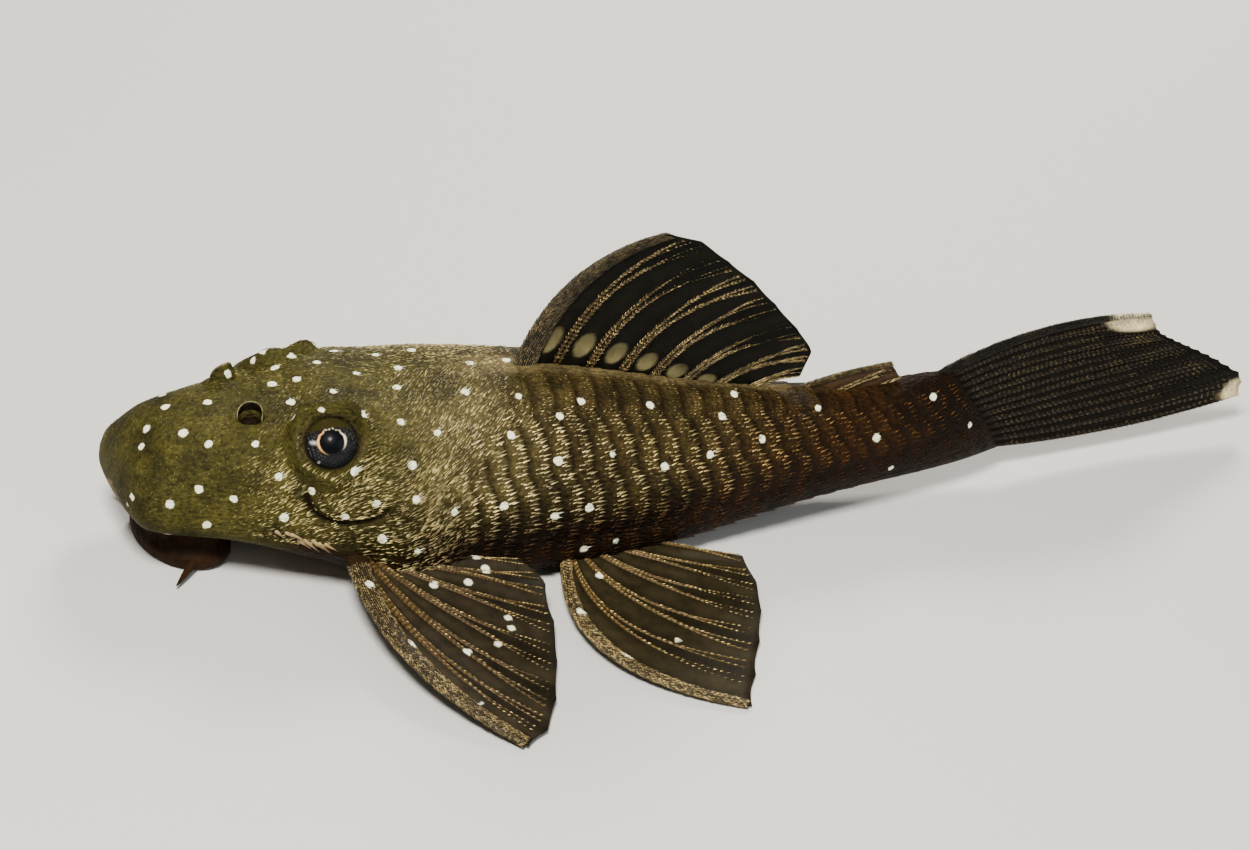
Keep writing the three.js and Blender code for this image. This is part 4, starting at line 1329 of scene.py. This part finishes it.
pectoral_tip_x = profile([
    (0, 28.4), (0.17, 30.2), (0.33, 31.6), (0.5, 32.8), (0.67, 33.6), (0.83, 33.6), (1, 31.6),
])
pectoral_tip_y = profile([
    (0, -28.4), (0.17, -26.8), (0.33, -23.6), (0.5, -19.2), (0.67, -14.8), (0.83, -11.8), (1, -9.8),
])
pectoral_tip_z = profile([(0, 0.3), (0.33, 0.5), (0.5, 0.6), (0.67, 1.1), (0.83, 2.2), (1, 3.6)])
PECTORAL_SPOTS = [
    (0.32, 0.15), (0.47, 0.46), (3.76, 0.36), (1.91, 0.63), (4.50, 0.55), (5.97, 0.68),
    (5.28, 0.66), (3.64, 0.77), (3.38, 0.79), (2.71, 0.74), (0.45, 0.79),
]
pelvic_tip_x = profile([(0, 45.9), (0.2, 47.3), (0.4, 48.8), (0.6, 50.0), (0.8, 50.6), (1, 50.4)])
pelvic_tip_y = profile([(0, -25.1), (0.2, -21.5), (0.4, -17.6), (0.6, -14.0), (0.8, -10.6), (1, -7.0)])
PELVIC_SPOTS = [(1.88, 0.26), (0.13, 0.33), (0.18, 0.60), (1.33, 0.73)]

for side, mirror in (("left", False), ("right", True)):
    Fin(
        "pectoral_fin_" + side, 7,
        root=lambda share: triple(19.6 + 3.0 * share, -9.3, 3.5 - 0.4 * share),
        tip=lambda share: triple(pectoral_tip_x(share), pectoral_tip_y(share), pectoral_tip_z(share)),
        bow=lambda share: triple(-4.4 * (1 - share) ** 1.3, -3.3 * (1 - share), 0.6),
        spine=1.5, thickness=1.25, spots=PECTORAL_SPOTS, mirror=mirror, fold=PECTORAL_FOLD * mirror,
        ray_tone=(0.95, 0.88, 0.75), web_tone=(0.026, 0.020, 0.011), cover=0.86,
    ).make()
    Fin(
        "pelvic_fin_" + side, 6,
        root=lambda share: triple(36.8 + 2.0 * share, -6.0 + 1.2 * share, 1.5),
        tip=lambda share: triple(pelvic_tip_x(share), pelvic_tip_y(share), 0.25 + 0.9 * share ** 2),
        bow=lambda share: triple(-9.4 * (1 - share) ** 1.4, -6.0 * (1 - share) ** 1.4, 0.2 + 0.3 * share),
        spine=1.25, thickness=1.0, spots=PELVIC_SPOTS, mirror=mirror,
        ray_tone=(1.5, 1.45, 1.3), web_tone=(0.026, 0.020, 0.009), cover=0.86,
    ).make()

# Setting: a plain pale floor that the fish lies on, and soft light from a lamp over its left
# cheek, a weaker one beyond it and a broad faint one at its tail. The view is the photograph's.

floor_shape = bmesh.new()
bmesh.ops.create_grid(floor_shape, x_segments=1, y_segments=1, size=2.0)
floor_mesh = bpy.data.meshes.new("floor")
floor_shape.to_mesh(floor_mesh)
floor_shape.free()
floor = bpy.data.objects.new("floor", floor_mesh)
bpy.context.scene.collection.objects.link(floor)
floor_material, tree, shader = surface("pale_floor", 0.8, 0.5)
shader.inputs["Base Color"].default_value = (0.62, 0.62, 0.60, 1)
floor_mesh.materials.append(floor_material)

world = bpy.data.worlds.new("studio")
bpy.context.scene.world = world
world.use_nodes = True
world.node_tree.nodes["Background"].inputs["Color"].default_value = (0.90, 0.89, 0.86, 1)
world.node_tree.nodes["Background"].inputs["Strength"].default_value = 0.18

LIT = Vector((0, 0, 0.005))


def lamp(name, place, size, power, colour):
    light = bpy.data.lights.new(name, "AREA")
    light.shape = "DISK"
    light.size = size
    light.energy = power
    light.color = colour
    holder = bpy.data.objects.new(name, light)
    bpy.context.scene.collection.objects.link(holder)
    holder.location = place
    holder.rotation_euler = (LIT - Vector(place)).to_track_quat("-Z", "Y").to_euler()


lamp("key_light", (-0.12, -0.15, 0.30), 0.10, 2.5, (1.0, 0.96, 0.88))
lamp("rim_light", (0.10, 0.24, 0.20), 0.10, 1.2, (1.0, 0.94, 0.84))
lamp("fill_light", (0.22, -0.24, 0.16), 0.30, 0.5, (0.94, 0.97, 1.0))

AZIMUTH, ELEVATION, ROLL = (math.radians(a) for a in (-20.3, 31.0, 9.2))
CAMERA_AWAY = 262.0
CAMERA_AIM = Vector((35.0, 0, 7.0))
level = Vector((math.cos(AZIMUTH), math.sin(AZIMUTH), 0))
ahead = Vector((-math.sin(AZIMUTH), math.cos(AZIMUTH), 0))
back = Vector((0, 0, math.sin(ELEVATION))) - ahead * math.cos(ELEVATION)
upright = back.cross(level)
right = level * math.cos(ROLL) + upright * math.sin(ROLL)
up = upright * math.cos(ROLL) - level * math.sin(ROLL)
camera_place = CAMERA_AIM + right * 6.9 + up * 1.37 + back * CAMERA_AWAY
lens = bpy.data.cameras.new("camera")
lens.lens = 100
lens.sensor_width = 36
lens.clip_start = 0.01
camera = bpy.data.objects.new("camera", lens)
bpy.context.scene.collection.objects.link(camera)
facing = Matrix((right, up, back)).transposed().to_4x4()
camera.matrix_world = Matrix.Translation(camera_place * MM + Vector(TO_ROW)) @ facing
bpy.context.scene.camera = camera
